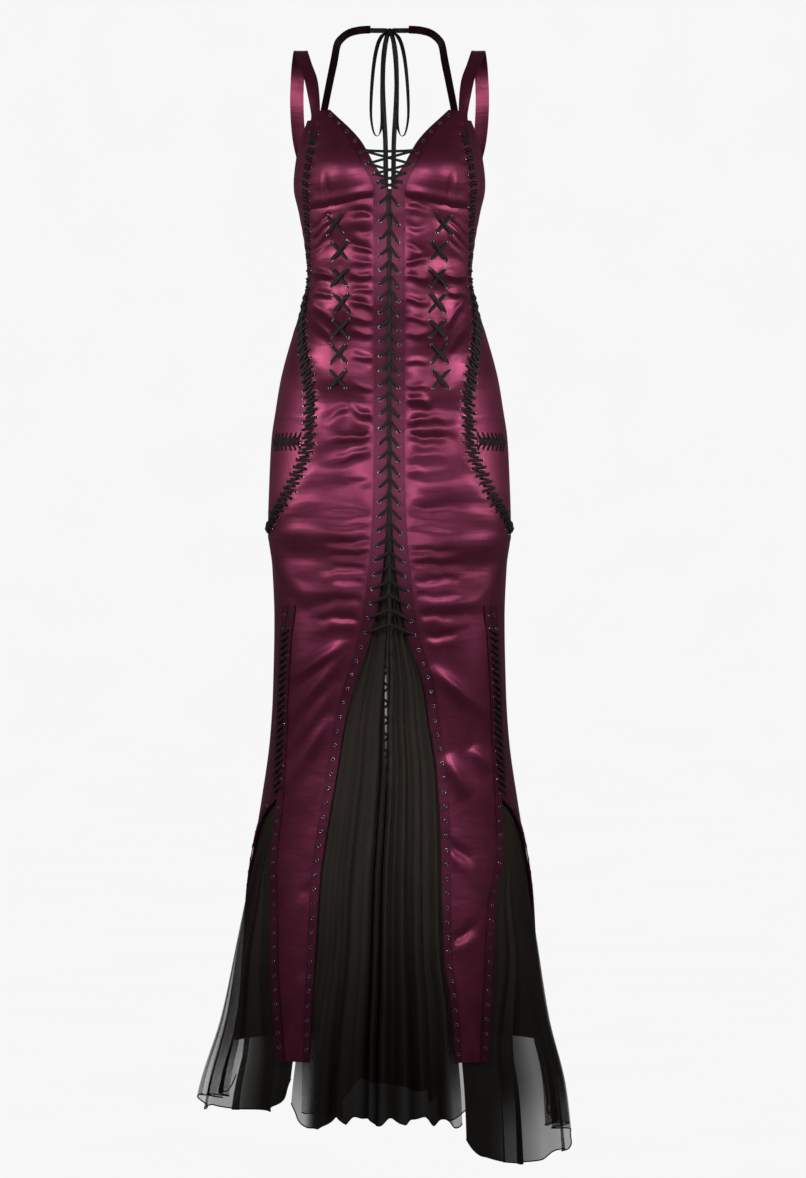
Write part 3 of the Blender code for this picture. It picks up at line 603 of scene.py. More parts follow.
def ruche(side, angle, x, z):
    """Height of the front's slow cross folds."""
    inner = value("front_edge", 1, z) + value("band", 1, z)
    outer = np.abs(outline(side, value("seam", 1, z), z)[..., 0])
    share = (x - inner) / np.maximum(outer - inner, 1)
    fade = ease_out(share * 4) * ease_out((1 - share) * 4)
    fade = fade * ease_out((RUCHE_TOP_Z - z) / 25) * ease_out((z - RUCHE_END_Z) / 40)
    wave = np.cos(2 * math.pi * (z + side * 9 - x * 0.10) / RUCHE_PITCH)
    return np.where((angle <= 90) & (share > 0) & (share < 1), RUCHE_HEIGHT * fade * wave, 0)


def drag(side, x, z):
    """Height of the slanting folds between the front opening and the side slit."""
    height = np.zeros_like(x)
    for fold_side, x0, z0, x1, z1, fold_height in DRAG_FOLDS:
        if fold_side != side:
            continue
        run_x = x1 - x0
        run_z = z1 - z0
        share = ((x - x0) * run_x + (z - z0) * run_z) / (run_x ** 2 + run_z ** 2)
        off = np.hypot(x - x0 - run_x * share, z - z0 - run_z * share)
        arch = np.sin(math.pi * np.clip(share, 0, 1))
        height += fold_height * arch * np.exp(-(off / DRAG_FOLD_RADIUS) ** 2)
        height += SHARP_FOLD_SHARE * fold_height * arch * np.exp(-(off / SHARP_FOLD_RADIUS) ** 2)
    return height


def crease(rows, side, x, z):
    """Height of creases placed one by one: a trough with a softer ridge below it."""
    height = np.zeros_like(x)
    for which, x0, z0, x1, z1, depth, half in rows:
        if which not in (0, side):
            continue
        share = np.clip((x - x0) / (x1 - x0), 0, 1)
        bow = 1.6 * np.sin(x * 0.11 + z0) + 0.9 * np.sin(x * 0.27 + 2 * z0)
        off = (z - z0 - (z1 - z0) * share - bow) / (half * (0.75 + 0.5 * share))
        ends = ease_out(share * 6) * ease_out((1 - share) * 2.2)
        fold = 0.5 * np.exp(-((off + 1.8) / 1.4) ** 2) - np.exp(-off ** 2)
        height += 0.8 * depth * ends * fold
    return height


def darts(side, x, z):
    """Depth of the bust dart, which runs out to a point at its top."""
    height = np.zeros_like(x)
    for which, x0, z0, x1, z1, depth, half in DARTS:
        if which != side:
            continue
        share = (z - z0) / (z1 - z0)
        off = (x - x0 - (x1 - x0) * share) / half
        height += np.where((share > 0) & (share < 1.02), depth * ease_out(share * 1.6), 0) * (
            0.5 * np.exp(-(off - 1.8) ** 2) - np.exp(-off ** 2))
    return height


def folds(side, angle, x, z):
    """Height of all folds at places on one side."""
    seam = side_seam(side, z)
    is_front = angle < seam
    height = ruche(side, angle, x, z) + np.where(is_front, drag(side, x, z), 0)
    near_band = ease_out((x - front_edge(side, z) - value("band", 1, z) + 2) / 8)
    seam_x = np.abs(outline(side, seam, z)[..., 0])
    near_seam = ease_out((seam_x - x) / 12)
    height = height + np.where(is_front, crease(CREASES, side, x, z) * near_band * near_seam, 0)
    height = height + np.where(angle > 100, crease(BACK_CREASES, side, x, z), 0)
    rim = RIM_ROLL * np.exp(-((z - RIM_Z) / 7) ** 2) - RIM_ROLL * np.exp(-((z - UNDERBUST_Z) / 4) ** 2)
    height = height + np.where(is_front, (rim + darts(side, x, z)) * near_band * near_seam, 0)
    middle = np.interp(z, X_LACE_LEVELS[::-1], X_LACE_ACROSS[::-1])
    groove = np.exp(-((x - middle) / 5) ** 2) * ease_out((COLUMN_TOP_Z - z) / 12)
    groove = groove * ease_out((z - COLUMN_END_Z) / 12)
    groove = groove * (0.65 + 0.35 * np.cos(2 * math.pi * (z - X_LACE_LEVELS[0]) / COLUMN_PITCH))
    height = height - np.where(is_front, COLUMN_GROOVE * groove, 0)
    ripple = np.cos(2 * math.pi * z / HIP_LACE_PITCH) * np.exp(-((x - seam_x) / 9) ** 2)
    height = height + np.where((angle < 95) & (z < -110) & (z > HIP_PANEL_END_Z), 0.5 * ripple, 0)
    return height


def tilt(side, angle, z):
    """Change of level that bends the seam under the bust up and the back's top edge down."""
    x = np.abs(outline(side, angle, z)[..., 0])
    front = SEAM_BOW * ease_out(1 - np.abs(z - UNDERBUST_Z) / 60) * ease_out((95 - x) / 80)
    back = -SEAM_BOW * ease_out(1 - np.abs(z - BACK_TOP_Z) / 60) * ease_out((angle - 115) / 65)
    return np.where(angle < 90, front, np.where(angle > 115, back, 0))


def skin(side, angle, z, lift=0.0):
    """Points of the gown's surface, moved out by a lift."""
    angle, z = np.broadcast_arrays(np.asarray(angle, float), np.asarray(z, float))
    x = np.abs(outline(side, angle, z)[..., 0])
    height = lift + folds(side, angle, x, z)
    level = z + tilt(side, angle, z)
    return outline(side, angle, level) + outward(side, angle, level) * height[..., None]


def front_columns(side, z):
    """Angles of the front's six lines: inner edge, band, two between, side band and seam."""
    edge = front_edge(side, z)
    inner = angle_at(edge, z)
    band_end = angle_at(edge + value("band", 1, z), z)
    seam = side_seam(side, z)
    outer = seam - turn_for(SEAM_GAP / 2, side, seam, z)
    side_band = outer - np.minimum(turn_for(13, side, seam, z), 0.42 * (outer - inner))
    band_end = np.minimum(band_end, inner + 0.55 * (side_band - inner) + 0.5)
    between = [band_end + (side_band - band_end) * share for share in (0.34, 0.67)]
    return [inner, band_end, *between, side_band, outer]


def back_columns(side, z):
    """Angles of the back's lines, from its outer edge to the centre."""
    seam = side_seam(side, z)
    edge = np.where(z > HIP_PANEL_END_Z - 0.5, 180 - seam, np.where(z > SLIT_END_Z, seam,
                                                                 value("back_edge", 1, z)))
    outer = edge + turn_for(SEAM_GAP / 2, side, edge, z)
    centre = value("back_centre", 1, z)
    inner = angle_at(centre, z, back=True)
    band = angle_at(centre + 19, z, back=True)
    side_band = outer + turn_for(13, side, outer, z)
    wide = ease_out((100 - outer) / 30)
    between = [side_band + (band - side_band) * share for share in (0.36 - 0.17 * wide, 0.70 - 0.12 * wide)]
    return [outer, side_band, *between, band, inner]


def hip_columns(side, z):
    """Angles of the hip panel's lines, from the laced seam to the armhole or the back panel."""
    seam = side_seam(side, z)
    start = seam + turn_for(SEAM_GAP / 2, side, seam, z)
    end = np.where(z > BACK_TOP_Z + 0.5, np.maximum(value("armhole", 1, z), start + 2), 180 - start)
    rim = np.minimum(turn_for(12, side, seam, z), 0.25 * (end - start))
    return [start, start + rim, 0.64 * start + 0.36 * end, 0.36 * start + 0.64 * end, end - rim, end]


def patch(side, columns, first, last, top, low, lift, step, fine):
    """Grid of points over a run of a panel's lines, between two levels."""
    levels = np.linspace(top, low, max(int((top - low) / step), 4))
    lines = np.array(columns(side, levels))[first:last + 1]
    places = np.linspace(0, len(lines) - 1, (len(lines) - 1) * fine + 1)
    angles = np.array([np.interp(places, np.arange(len(lines)), line) for line in lines.T])
    return skin(side, angles, levels[:, None], lift)


def run_of(steps):
    """Distance run at each point of a line, from the steps between its points."""
    return np.concatenate([[0], np.cumsum(steps)])


def link(name, data):
    """Puts a mesh, a light or a camera into the scene under its own name."""
    piece = bpy.data.objects.new(name, data)
    bpy.context.scene.collection.objects.link(piece)
    return piece


def settle(piece):
    """Turns a piece's live modifiers into its mesh."""
    depsgraph = bpy.context.evaluated_depsgraph_get()
    mesh = bpy.data.meshes.new_from_object(piece.evaluated_get(depsgraph))
    old = piece.data
    piece.modifiers.clear()
    piece.data = mesh
    bpy.data.meshes.remove(old)
    return piece


def lay_uv(mesh, across, down):
    """UV map in metres, across and down the cloth."""
    layer = mesh.uv_layers.new(name="cloth")
    corners = np.empty(len(mesh.loops), int)
    mesh.loops.foreach_get("vertex_index", corners)
    layer.data.foreach_set("uv", np.stack([across[corners], down[corners]], 1).ravel() * MM)


def cloth(name, grid, wall, material, facing=None, cover=None):
    """Closed thin shell over a grid of points, thickened towards a direction, or away from the axis."""
    rows, across = grid.shape[:2]
    places = grid.reshape(-1, 3) * MM
    index = np.arange(rows * across).reshape(rows, across)
    quads = np.stack([index[:-1, :-1], index[1:, :-1], index[1:, 1:], index[:-1, 1:]], -1).reshape(-1, 4)
    a, b, c, d = (Vector(places[i]) for i in quads[len(quads) // 2 + across // 2])
    way = Vector(facing or (a.x + c.x, a.y + c.y, 0))
    if (c - a).cross(d - b).dot(way) < 0:
        quads = quads[:, ::-1]
    mesh = bpy.data.meshes.new(name)
    mesh.from_pydata(places.tolist(), [], quads.tolist())
    u, v = (run_of(np.linalg.norm(np.diff(grid, axis=axis), axis=2).mean(1 - axis)) for axis in (1, 0))
    lay_uv(mesh, np.tile(u, rows), np.repeat(v, across))
    if cover is not None:
        layer = mesh.attributes.new("cover", "FLOAT", "POINT")
        layer.data.foreach_set("value", cover.reshape(-1).astype(np.float32))
    mesh.shade_smooth()
    mesh.materials.append(material)
    piece = link(name, mesh)
    thick = piece.modifiers.new("wall", "SOLIDIFY")
    thick.thickness = wall * MM
    thick.offset = 1
    settle(piece)
    piece.data.set_sharp_from_angle(angle=math.radians(SHARP_EDGE))
    return piece


def ring_mesh(name, rings):
    """Closed mesh through rings of points, with a flat face over the first and the last ring."""
    rows, across = rings.shape[:2]
    index = np.arange(rows * across).reshape(rows, across)
    right = np.roll(index, -1, axis=1)
    quads = np.stack([index[:-1], index[1:], right[1:], right[:-1]], -1).reshape(-1, 4)
    mesh = bpy.data.meshes.new(name)
    mesh.from_pydata(rings.reshape(-1, 3).tolist(), [],
                     quads.tolist() + [index[0].tolist(), index[-1][::-1].tolist()])
    return mesh


def place_piece(piece, nodes=()):
    """Rides the gown and stands for its solids."""
    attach(piece, "root")
    if nodes:
        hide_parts(*nodes)


# Materials

def set_inputs(tree, node, values):
    """Links inputs to sockets or to other nodes' first outputs, or fills them."""
    for name, entry in values.items():
        if isinstance(entry, bpy.types.Node):
            entry = entry.outputs[0]
        if isinstance(entry, bpy.types.NodeSocket):
            tree.links.new(entry, node.inputs[name])
        else:
            node.inputs[name].default_value = entry


def add_node(tree, kind, values=None, **settings):
    """Adds a node, sets its settings, and links or fills its inputs."""
    node = tree.nodes.new(kind)
    for name, setting in settings.items():
        setattr(node, name, setting)
    set_inputs(tree, node, values or {})
    return node


def new_material(name):
    """A material with its node tree and its shader."""
    material = bpy.data.materials.new(name)
    material.use_nodes = True
    return material, material.node_tree, material.node_tree.nodes["Principled BSDF"]


def satin(name, dark, light, roughness):
    """Duchess satin: long warp floats give a tinted, directional gloss and hide the weave."""
    material, tree, shader = new_material(name)
    uv = add_node(tree, "ShaderNodeUVMap", uv_map="cloth")
    # Floats are 0.2 mm wide, drawn at about 1 mm so that they show as streaks
    lay = add_node(tree, "ShaderNodeMapping", {"Vector": uv, "Scale": (900, 60, 1)})
    floats = add_node(tree, "ShaderNodeTexNoise", {"Vector": lay, "Scale": 1.0, "Detail": 2.0})
    cloud = add_node(tree, "ShaderNodeTexNoise", {"Vector": uv, "Scale": 14.0, "Detail": 3.0})
    both = add_node(tree, "ShaderNodeMath", {0: floats, 1: 0.35, 2: cloud}, operation="MULTIPLY_ADD")
    tone = add_node(tree, "ShaderNodeValToRGB", {"Fac": both})
    for stop, position, colour in zip(tone.color_ramp.elements, (0.45, 0.92), (dark, light)):
        stop.position = position
        stop.color = linear(colour)
    # Soft puckers about 25 mm across and 8 mm high on the cloth
    pull = add_node(tree, "ShaderNodeMapping", {"Vector": uv, "Scale": (22, 80, 1)})
    pucker = add_node(tree, "ShaderNodeTexNoise", {"Vector": pull, "Scale": 1.0, "Detail": 2.0})
    soft = add_node(tree, "ShaderNodeBump", {"Height": pucker, "Strength": 0.3, "Distance": 0.0014})
    fine = add_node(tree, "ShaderNodeBump", {
        "Height": floats, "Strength": 0.25, "Distance": 0.00008, "Normal": soft})
    rough = add_node(tree, "ShaderNodeMapRange", {
        "Value": cloud, "To Min": roughness - 0.03, "To Max": roughness + 0.05})
    along = add_node(tree, "ShaderNodeTangent", direction_type="UV_MAP", uv_map="cloth")
    # Floats reflect in the dyed thread's own colour, as a metal does
    set_inputs(tree, shader, {
        "Base Color": tone, "Normal": fine, "Roughness": rough, "Tangent": along, "Anisotropic": 0.6,
        "Metallic": 0.86, "Sheen Weight": 0.03, "Sheen Roughness": 0.4, "Sheen Tint": linear("#B87090")})
    return material


def chiffon(name, colour):
    """Silk chiffon: sheer crepe threads, darker where gathers lie over each other."""
    material, tree, shader = new_material(name)
    uv = add_node(tree, "ShaderNodeUVMap", uv_map="cloth")
    # Crepe threads are 0.2 mm apart, drawn at about 2 mm
    grain = add_node(tree, "ShaderNodeTexNoise", {"Vector": uv, "Scale": 500.0, "Detail": 1.0})
    drift = add_node(tree, "ShaderNodeTexNoise", {"Vector": uv, "Scale": 9.0, "Detail": 2.0})
    tone = add_node(tree, "ShaderNodeMix", {0: drift, 6: linear(colour), 7: linear("#3D352F")},
                    data_type="RGBA")
    bump = add_node(tree, "ShaderNodeBump", {"Height": grain, "Strength": 0.3, "Distance": 0.0002})
    cover = add_node(tree, "ShaderNodeAttribute", attribute_name="cover")
    weave = add_node(tree, "ShaderNodeMath", {0: drift, 1: 0.08, 2: cover.outputs["Fac"]},
                     operation="MULTIPLY_ADD", use_clamp=True)
    set_inputs(tree, shader, {
        "Base Color": tone.outputs[2], "Normal": bump, "Alpha": weave, "Roughness": 0.8,
        "Specular IOR Level": 0.25, "Sheen Weight": 0.05, "Sheen Roughness": 0.5,
        "Sheen Tint": linear("#8A7F7A")})
    return material


def woven_cord(name, colour, light, roughness):
    """Polyester cord or ribbon: a fine twill, its ribs painted lighter as a painted highlight where they
    catch a little light.
    """
    material, tree, shader = new_material(name)
    place = add_node(tree, "ShaderNodeTexCoord").outputs["Object"]
    rib_and_highlight = add_node(tree, "ShaderNodeTexWave", {
        "Vector": place, "Scale": 260.0, "Distortion": 1.5, "Detail": 1.0}, bands_direction="DIAGONAL")
    height = rib_and_highlight.outputs["Fac"]
    # Painted highlight: the ribs' tops take the lighter colour
    tone = add_node(tree, "ShaderNodeMix", {0: height, 6: linear(colour), 7: linear(light)},
                    data_type="RGBA")
    bump = add_node(tree, "ShaderNodeBump", {"Height": height, "Strength": 0.5, "Distance": 0.0003})
    set_inputs(tree, shader, {"Base Color": tone.outputs[2], "Normal": bump, "Roughness": roughness,
                              "Specular IOR Level": 0.4})
    return material


def gunmetal(name):
    """Black-nickel plated brass: a dark mirror, scuffed a little unevenly."""
    material, tree, shader = new_material(name)
    place = add_node(tree, "ShaderNodeTexCoord").outputs["Object"]
    scuff = add_node(tree, "ShaderNodeTexNoise", {"Vector": place, "Scale": 700.0, "Detail": 2.0})
    rough = add_node(tree, "ShaderNodeMapRange", {"Value": scuff, "To Min": 0.18, "To Max": 0.36})
    tone = add_node(tree, "ShaderNodeMix", {0: scuff, 6: linear("#6E6264"), 7: linear("#A08E90")},
                    data_type="RGBA")
    set_inputs(tree, shader, {"Base Color": tone.outputs[2], "Roughness": rough, "Metallic": 1.0})
    return material


def backdrop_paper(colour):
    """Seamless studio paper, lit evenly so that it stays pale."""
    material, tree, shader = new_material("backdrop_paper")
    place = add_node(tree, "ShaderNodeTexCoord").outputs["Object"]
    tooth = add_node(tree, "ShaderNodeTexNoise", {"Vector": place, "Scale": 3.0})
    tone = add_node(tree, "ShaderNodeMix", {0: tooth, 6: linear(colour), 7: linear("#F8F8F8")},
                    data_type="RGBA")
    set_inputs(tree, shader, {
        "Emission Color": tone.outputs[2], "Emission Strength": 1.0, "Base Color": linear("#101010"),
        "Specular IOR Level": 0.0, "Roughness": 1.0})
    return material


@lru_cache(maxsize=None)
def finish(name):
    """The gown's materials, each made once, from the colours set in the panel."""
    colours = bpy.context.scene.gown_colours
    make, *settings = {
        "satin": (satin, "plum_duchess_satin", colours.satin_dark, colours.satin_light, 0.40),
        "satin_band": (satin, "plum_band_satin", colours.band_dark, colours.band_light, 0.46),
        # The strap satin is the gown's satin darkened: painted shade on the halter strap
        "strap": (satin, "shadowed_strap_satin", "#2A1418", "#43202C", 0.42),
        # In the cord and ribbon finishes the second colour is the painted highlight on the ribs
        "thread": (woven_cord, "plum_thread", "#351220", "#4A1A2E", 0.6),
        "chiffon": (chiffon, "black_silk_chiffon", colours.chiffon),
        "lace": (woven_cord, "black_lacing_cord", colours.lace, "#2C2823", 0.65),
        "ribbon": (woven_cord, "black_satin_ribbon", "#0E0B09", "#1D1815", 0.45),
        "eyelet": (gunmetal, "black_nickel"),
        # The eyelets' hole disc is near black: painted shade inside the hole
        "hole": (woven_cord, "eyelet_hole", "#040303", "#080505", 0.9),
    }[name]
    return make(*settings)


# Geometry node trees

def new_tree(name, sizes, materials):
    """Node tree with a mesh going in and out, named sizes and named materials."""
    tree = bpy.data.node_groups.new(name, "GeometryNodeTree")
    for kind, names in (("Geometry", ["Geometry"]), ("Float", sizes), ("Material", materials)):
        for entry in names:
            tree.interface.new_socket(name=entry, in_out="INPUT", socket_type="NodeSocket" + kind)
    tree.interface.new_socket(name="Geometry", in_out="OUTPUT", socket_type="NodeSocketGeometry")
    return tree, tree.nodes.new("NodeGroupInput").outputs


def painted(tree, shape, material):
    """Nodes that smooth a shape, make it real and give it its material."""
    smooth = add_node(tree, "GeometryNodeSetShadeSmooth", {"Geometry": shape})
    real = add_node(tree, "GeometryNodeRealizeInstances", {"Geometry": smooth})
    return add_node(tree, "GeometryNodeSetMaterial", {"Geometry": real, "Material": material})


@lru_cache(maxsize=None)
def eyelet_tree():
    """A rolled metal ring over a dark disc of painted shade in its hole at each vertex, square to the
    vertex's own direction.
    """
    tree, given = new_tree("eyelets", ("Ring Radius", "Wire Radius"), ("Metal", "Hole Shade"))
    radius = given["Ring Radius"]
    wire_radius = given["Wire Radius"]
    path = add_node(tree, "GeometryNodeCurvePrimitiveCircle", {"Resolution": 14, "Radius": radius})
    wire = add_node(tree, "GeometryNodeCurvePrimitiveCircle", {"Resolution": 6, "Radius": wire_radius})
    ring = add_node(tree, "GeometryNodeCurveToMesh", {"Curve": path, "Profile Curve": wire})
    # The near-black disc in each ring is painted shade, where the hole shows only shade
    shade_disc = add_node(tree, "GeometryNodeMeshCylinder", {
        "Vertices": 12, "Radius": radius, "Depth": wire_radius}, fill_type="NGON")
    facing = add_node(tree, "GeometryNodeInputNamedAttribute", {"Name": "facing"},
                      data_type="FLOAT_VECTOR")
    turn = add_node(tree, "FunctionNodeAlignRotationToVector", {"Vector": facing}, axis="Z")
    both = tree.nodes.new("GeometryNodeJoinGeometry")
    for shape, material in ((ring, "Metal"), (shade_disc, "Hole Shade")):
        spread = add_node(tree, "GeometryNodeInstanceOnPoints", {
            "Points": given["Geometry"], "Instance": shape, "Rotation": turn})
        set_inputs(tree, both, {"Geometry": painted(tree, spread, given[material])})
    add_node(tree, "NodeGroupOutput", {"Geometry": both})
    return tree


@lru_cache(maxsize=None)
def cord_tree():
    """A round cord along each chain of edges."""
    tree, given = new_tree("cords", ("Cord Radius",), ("Cloth",))
    line = add_node(tree, "GeometryNodeMeshToCurve", {"Mesh": given["Geometry"]})
    section = add_node(tree, "GeometryNodeCurvePrimitiveCircle", {
        "Resolution": 8, "Radius": given["Cord Radius"]})
    body = add_node(tree, "GeometryNodeCurveToMesh", {
        "Curve": line, "Profile Curve": section, "Fill Caps": True})
    add_node(tree, "NodeGroupOutput", {"Geometry": painted(tree, body, given["Cloth"])})
    return tree


@lru_cache(maxsize=None)
def stitch_tree():
    """Short sewn stitches laid end to end along each chain of edges."""
    tree, given = new_tree("stitches", ("Stitch Pitch", "Thread Radius"), ("Thread",))
    pitch = given["Stitch Pitch"]
    radius = given["Thread Radius"]
    line = add_node(tree, "GeometryNodeMeshToCurve", {"Mesh": given["Geometry"]})
    marks = add_node(tree, "GeometryNodeResampleCurve", {"Curve": line, "Length": pitch}, mode="LENGTH")
    length = add_node(tree, "ShaderNodeMath", {0: pitch, 1: 0.34}, operation="MULTIPLY")
    bead = add_node(tree, "GeometryNodeMeshIcoSphere", {"Radius": 1.0, "Subdivisions": 1})
    shape = add_node(tree, "ShaderNodeCombineXYZ", {"X": radius, "Y": radius, "Z": length})
    along = add_node(tree, "GeometryNodeInputTangent")
    turn = add_node(tree, "FunctionNodeAlignRotationToVector", {"Vector": along}, axis="Z")
    spread = add_node(tree, "GeometryNodeInstanceOnPoints", {
        "Points": marks, "Instance": bead, "Rotation": turn, "Scale": shape})
    add_node(tree, "NodeGroupOutput", {"Geometry": painted(tree, spread, given["Thread"])})
    return tree


def grow(mesh, tree, inputs):
    """Runs a node tree on a mesh and keeps the result as a plain mesh."""
    piece = link(mesh.name, mesh)
    maker = piece.modifiers.new("maker", "NODES")
    maker.node_group = tree
    for socket in tree.interface.items_tree:
        if socket.in_out == "INPUT" and socket.name in inputs:
            maker[socket.identifier] = inputs[socket.name]
    return settle(piece)


def chains_mesh(name, chains):
    """Mesh of edges only, a chain for each list of points."""
    places = []
    edges = []
    for chain in chains:
        first = len(places)
        places += (np.array(chain) * MM).tolist()
        edges += [(i, i + 1) for i in range(first, len(places) - 1)]
    mesh = bpy.data.meshes.new(name)
    mesh.from_pydata(places, edges, [])
    return mesh


def cords(name, chains, radius, material):
    """Round cords along chains of points."""
    return grow(chains_mesh(name, chains), cord_tree(), {"Cord Radius": radius * MM, "Cloth": material})


def stitches(name, chains, pitch, radius):
    """Rows of stitches along chains of points."""
    scale = bpy.context.scene.gown_sizes.stitches * MM
    return grow(chains_mesh(name, chains), stitch_tree(), {
        "Stitch Pitch": pitch * scale, "Thread Radius": radius * scale, "Thread": finish("thread")})


def eyelets(name, seats, ring, wire):
    """Eyelets at seats, each a point and the direction it faces."""
    mesh = chains_mesh(name, [[place] for place, _ in seats])
    facing = mesh.attributes.new("facing", "FLOAT_VECTOR", "POINT")
    facing.data.foreach_set("vector", np.array([way for _, way in seats], np.float32).ravel())
    scale = bpy.context.scene.gown_sizes.eyelets * MM
    piece = grow(mesh, eyelet_tree(), {"Ring Radius": ring * scale, "Wire Radius": wire * scale,
                                       "Metal": finish("eyelet"), "Hole Shade": finish("hole")})
    place_piece(piece)


# Places on the gown

def seat(side, angle, z, lift):
    """A point on the gown and the way the cloth faces there."""
    return skin(side, angle, z, lift), outward(side, angle, z)


def over_gap(x, z, lift, back=False):
    """Point over the front or the back, straight across the gap between its two bands."""
    side = -1 if x < 0 else 1
    edges = {way: value("back_centre", 1, z) if back else front_edge(way, z) for way in (-1, 1)}
    if abs(x) >= edges[side]:
        return skin(side, angle_at(x, z, back), z, lift)
    left, right = (skin(way, angle_at(edge, z, back), z, lift) for way, edge in edges.items())
    share = (x - left[0]) / (right[0] - left[0])
    return left + (right - left) * min(max(share, 0), 1)


def eyelet_across(side, z):
    """Distance of the front band's eyelets from the centre plane."""
    return front_edge(side, z) + value("band", 1, z) * EYELET_SHARE


def across_seam(side, z, off, lift):
    """Seat at a distance from the laced side seam, square to it."""
    angle = side_seam(side, z)
    per_mm = turn_for(1, side, angle, z)
    run = Vector(((side_seam(side, z - 2) - side_seam(side, z + 2)) / per_mm, -4)).normalized()
    return seat(side, angle - run.y * off * per_mm, z + run.x * off, lift)


def spaced(line, top, low, pitch):
    """Levels between two levels at which a line of points is an even distance on."""
    levels = np.arange(top, low, -1.0)
    run = run_of(np.linalg.norm(np.diff(line(levels), axis=0), axis=1))
    return np.interp(np.arange(0, run[-1], pitch), run, levels)


def seam_levels(side, top, low, pitch):
    """Levels an even distance apart along the laced side seam."""
    return spaced(lambda z: outline(side, side_seam(side, z), z), top, low, pitch)


# Pieces

# Piece, lines, first, last, top, low, lift, step, fine
PANELS = (
    ("cup", front_columns, 0, 5, APEX_Z, UNDERBUST_Z - 3 * SEAM_GAP, 0, 2.4, 9),
    ("front_panel", front_columns, 0, 5, UNDERBUST_Z - SEAM_GAP, PANEL_HEM_Z, 0, 2.6, 9),
    ("side_panel", hip_columns, 0, 5, HIP_PANEL_TOP_Z, HIP_PANEL_END_Z + 2, 0, 5, 7),
    ("back_panel", back_columns, 0, 5, BACK_TOP_Z, PANEL_HEM_Z, 0, 5, 9),
)
BANDS = (
    ("front_band", front_columns, 0, 1, APEX_Z, PANEL_HEM_Z, BAND_LIFT, 3, 8),
    ("front_side_band", front_columns, 4, 5, SLIT_TOP_Z, PANEL_HEM_Z, BAND_LIFT, 3, 8),
    ("back_side_band", back_columns, 0, 1, SLIT_TOP_Z, PANEL_HEM_Z, BAND_LIFT, 3, 8),
    ("back_band", back_columns, 4, 5, BACK_TOP_Z, PANEL_HEM_Z, BAND_LIFT, 3, 8),
)


def make_patches(patches, slot):
    """Panels or bands of satin on both sides."""
    for side, tag in SIDES:
        for piece, *shape in patches:
            shell = cloth(piece + tag + "_cloth", patch(side, *shape), SATIN_WALL, finish(slot))
            place_piece(shell, [piece + tag])


def make_stitching():
    """Two rows of stitches along each band, and one on each side of the seam under the bust."""
    lift = SATIN_WALL + 0.15
    for side, tag in SIDES:
        rows = []
        for _, lines, first, last, top, low, band_lift, _, _ in BANDS:
            levels = np.arange(top - 4, low + 4, -6.0)
            inner, outer = np.array(lines(side, levels))[first:last + 1]
            rows += [skin(side, inner + (outer - inner) * share, levels, band_lift + lift)
                     for share in (0.10, 0.90)]
        place_piece(stitches("band_stitches" + tag, rows, *BAND_STITCH))
        angles = np.linspace(front_columns(side, RIM_Z - 1)[1] + 1, side_seam(side, RIM_Z - 1) - 2, 40)
        rows = [skin(side, angles, level, lift) for level in BUST_STITCH_LEVELS]
        place_piece(stitches("bust_stitches" + tag, rows, *FINE_STITCH))


def smooth_route(points, steps):
    """Points along a smooth curve through a route's own points."""
    places = [np.asarray(point, float) for point in points]
    route = []
    for before, a, b, after in zip([places[0]] + places, places, places[1:], places[2:] + [places[-1]]):
        for t in np.arange(steps) / steps:
            route.append(0.5 * (2 * a + (b - before) * t + (2 * before - 5 * a + 4 * b - after) * t * t
                                + (3 * a - before - 3 * b + after) * t ** 3))
    return np.array(route + [places[-1]])


def unit(rows):
    """Each row's vector at length 1."""
    return rows / np.linalg.norm(rows, axis=1, keepdims=True)


def mirrored(side, route):
    """A right-hand route's stations on either side."""
    return [((side * x, y, z), (side * across, back, up)) for (x, y, z), (across, back, up) in route]


def tape_grid(stations, width, steps=6, crown=0.0):
    """Grid of a flat band through stations of a middle point and a direction across."""
    middles = smooth_route([middle for middle, _ in stations], steps)
    ways = unit(smooth_route(unit(np.array([way for _, way in stations], float)), steps))
    shares = np.linspace(-0.5, 0.5, 5)
    grid = middles[:, None] + ways[:, None] * shares[:, None] * width
    square = unit(np.cross(np.gradient(middles, axis=0), ways))
    return grid + square[:, None] * (crown * (1 - 4 * shares ** 2))[:, None]


def edge_rows(grid, facing, lift):
    """Lines just inside the two long edges of a band, raised off its face."""
    rows = []
    for inner, outer in ((0, 1), (-1, -2)):
        line = grid[:, inner] * 0.55 + grid[:, outer] * 0.45
        square = unit(np.cross(np.gradient(line, axis=0), grid[:, -1] - grid[:, 0]))
        rows.append(line + square * np.sign(square[len(line) // 2] @ facing) * lift)
    return rows


def plain_skin(side, angle, z, lift):
    """Point over the plain body, without folds."""
    level = z + tilt(side, np.float64(angle), np.float64(z))
    return outline(side, angle, level) + outward(side, angle, level) * lift


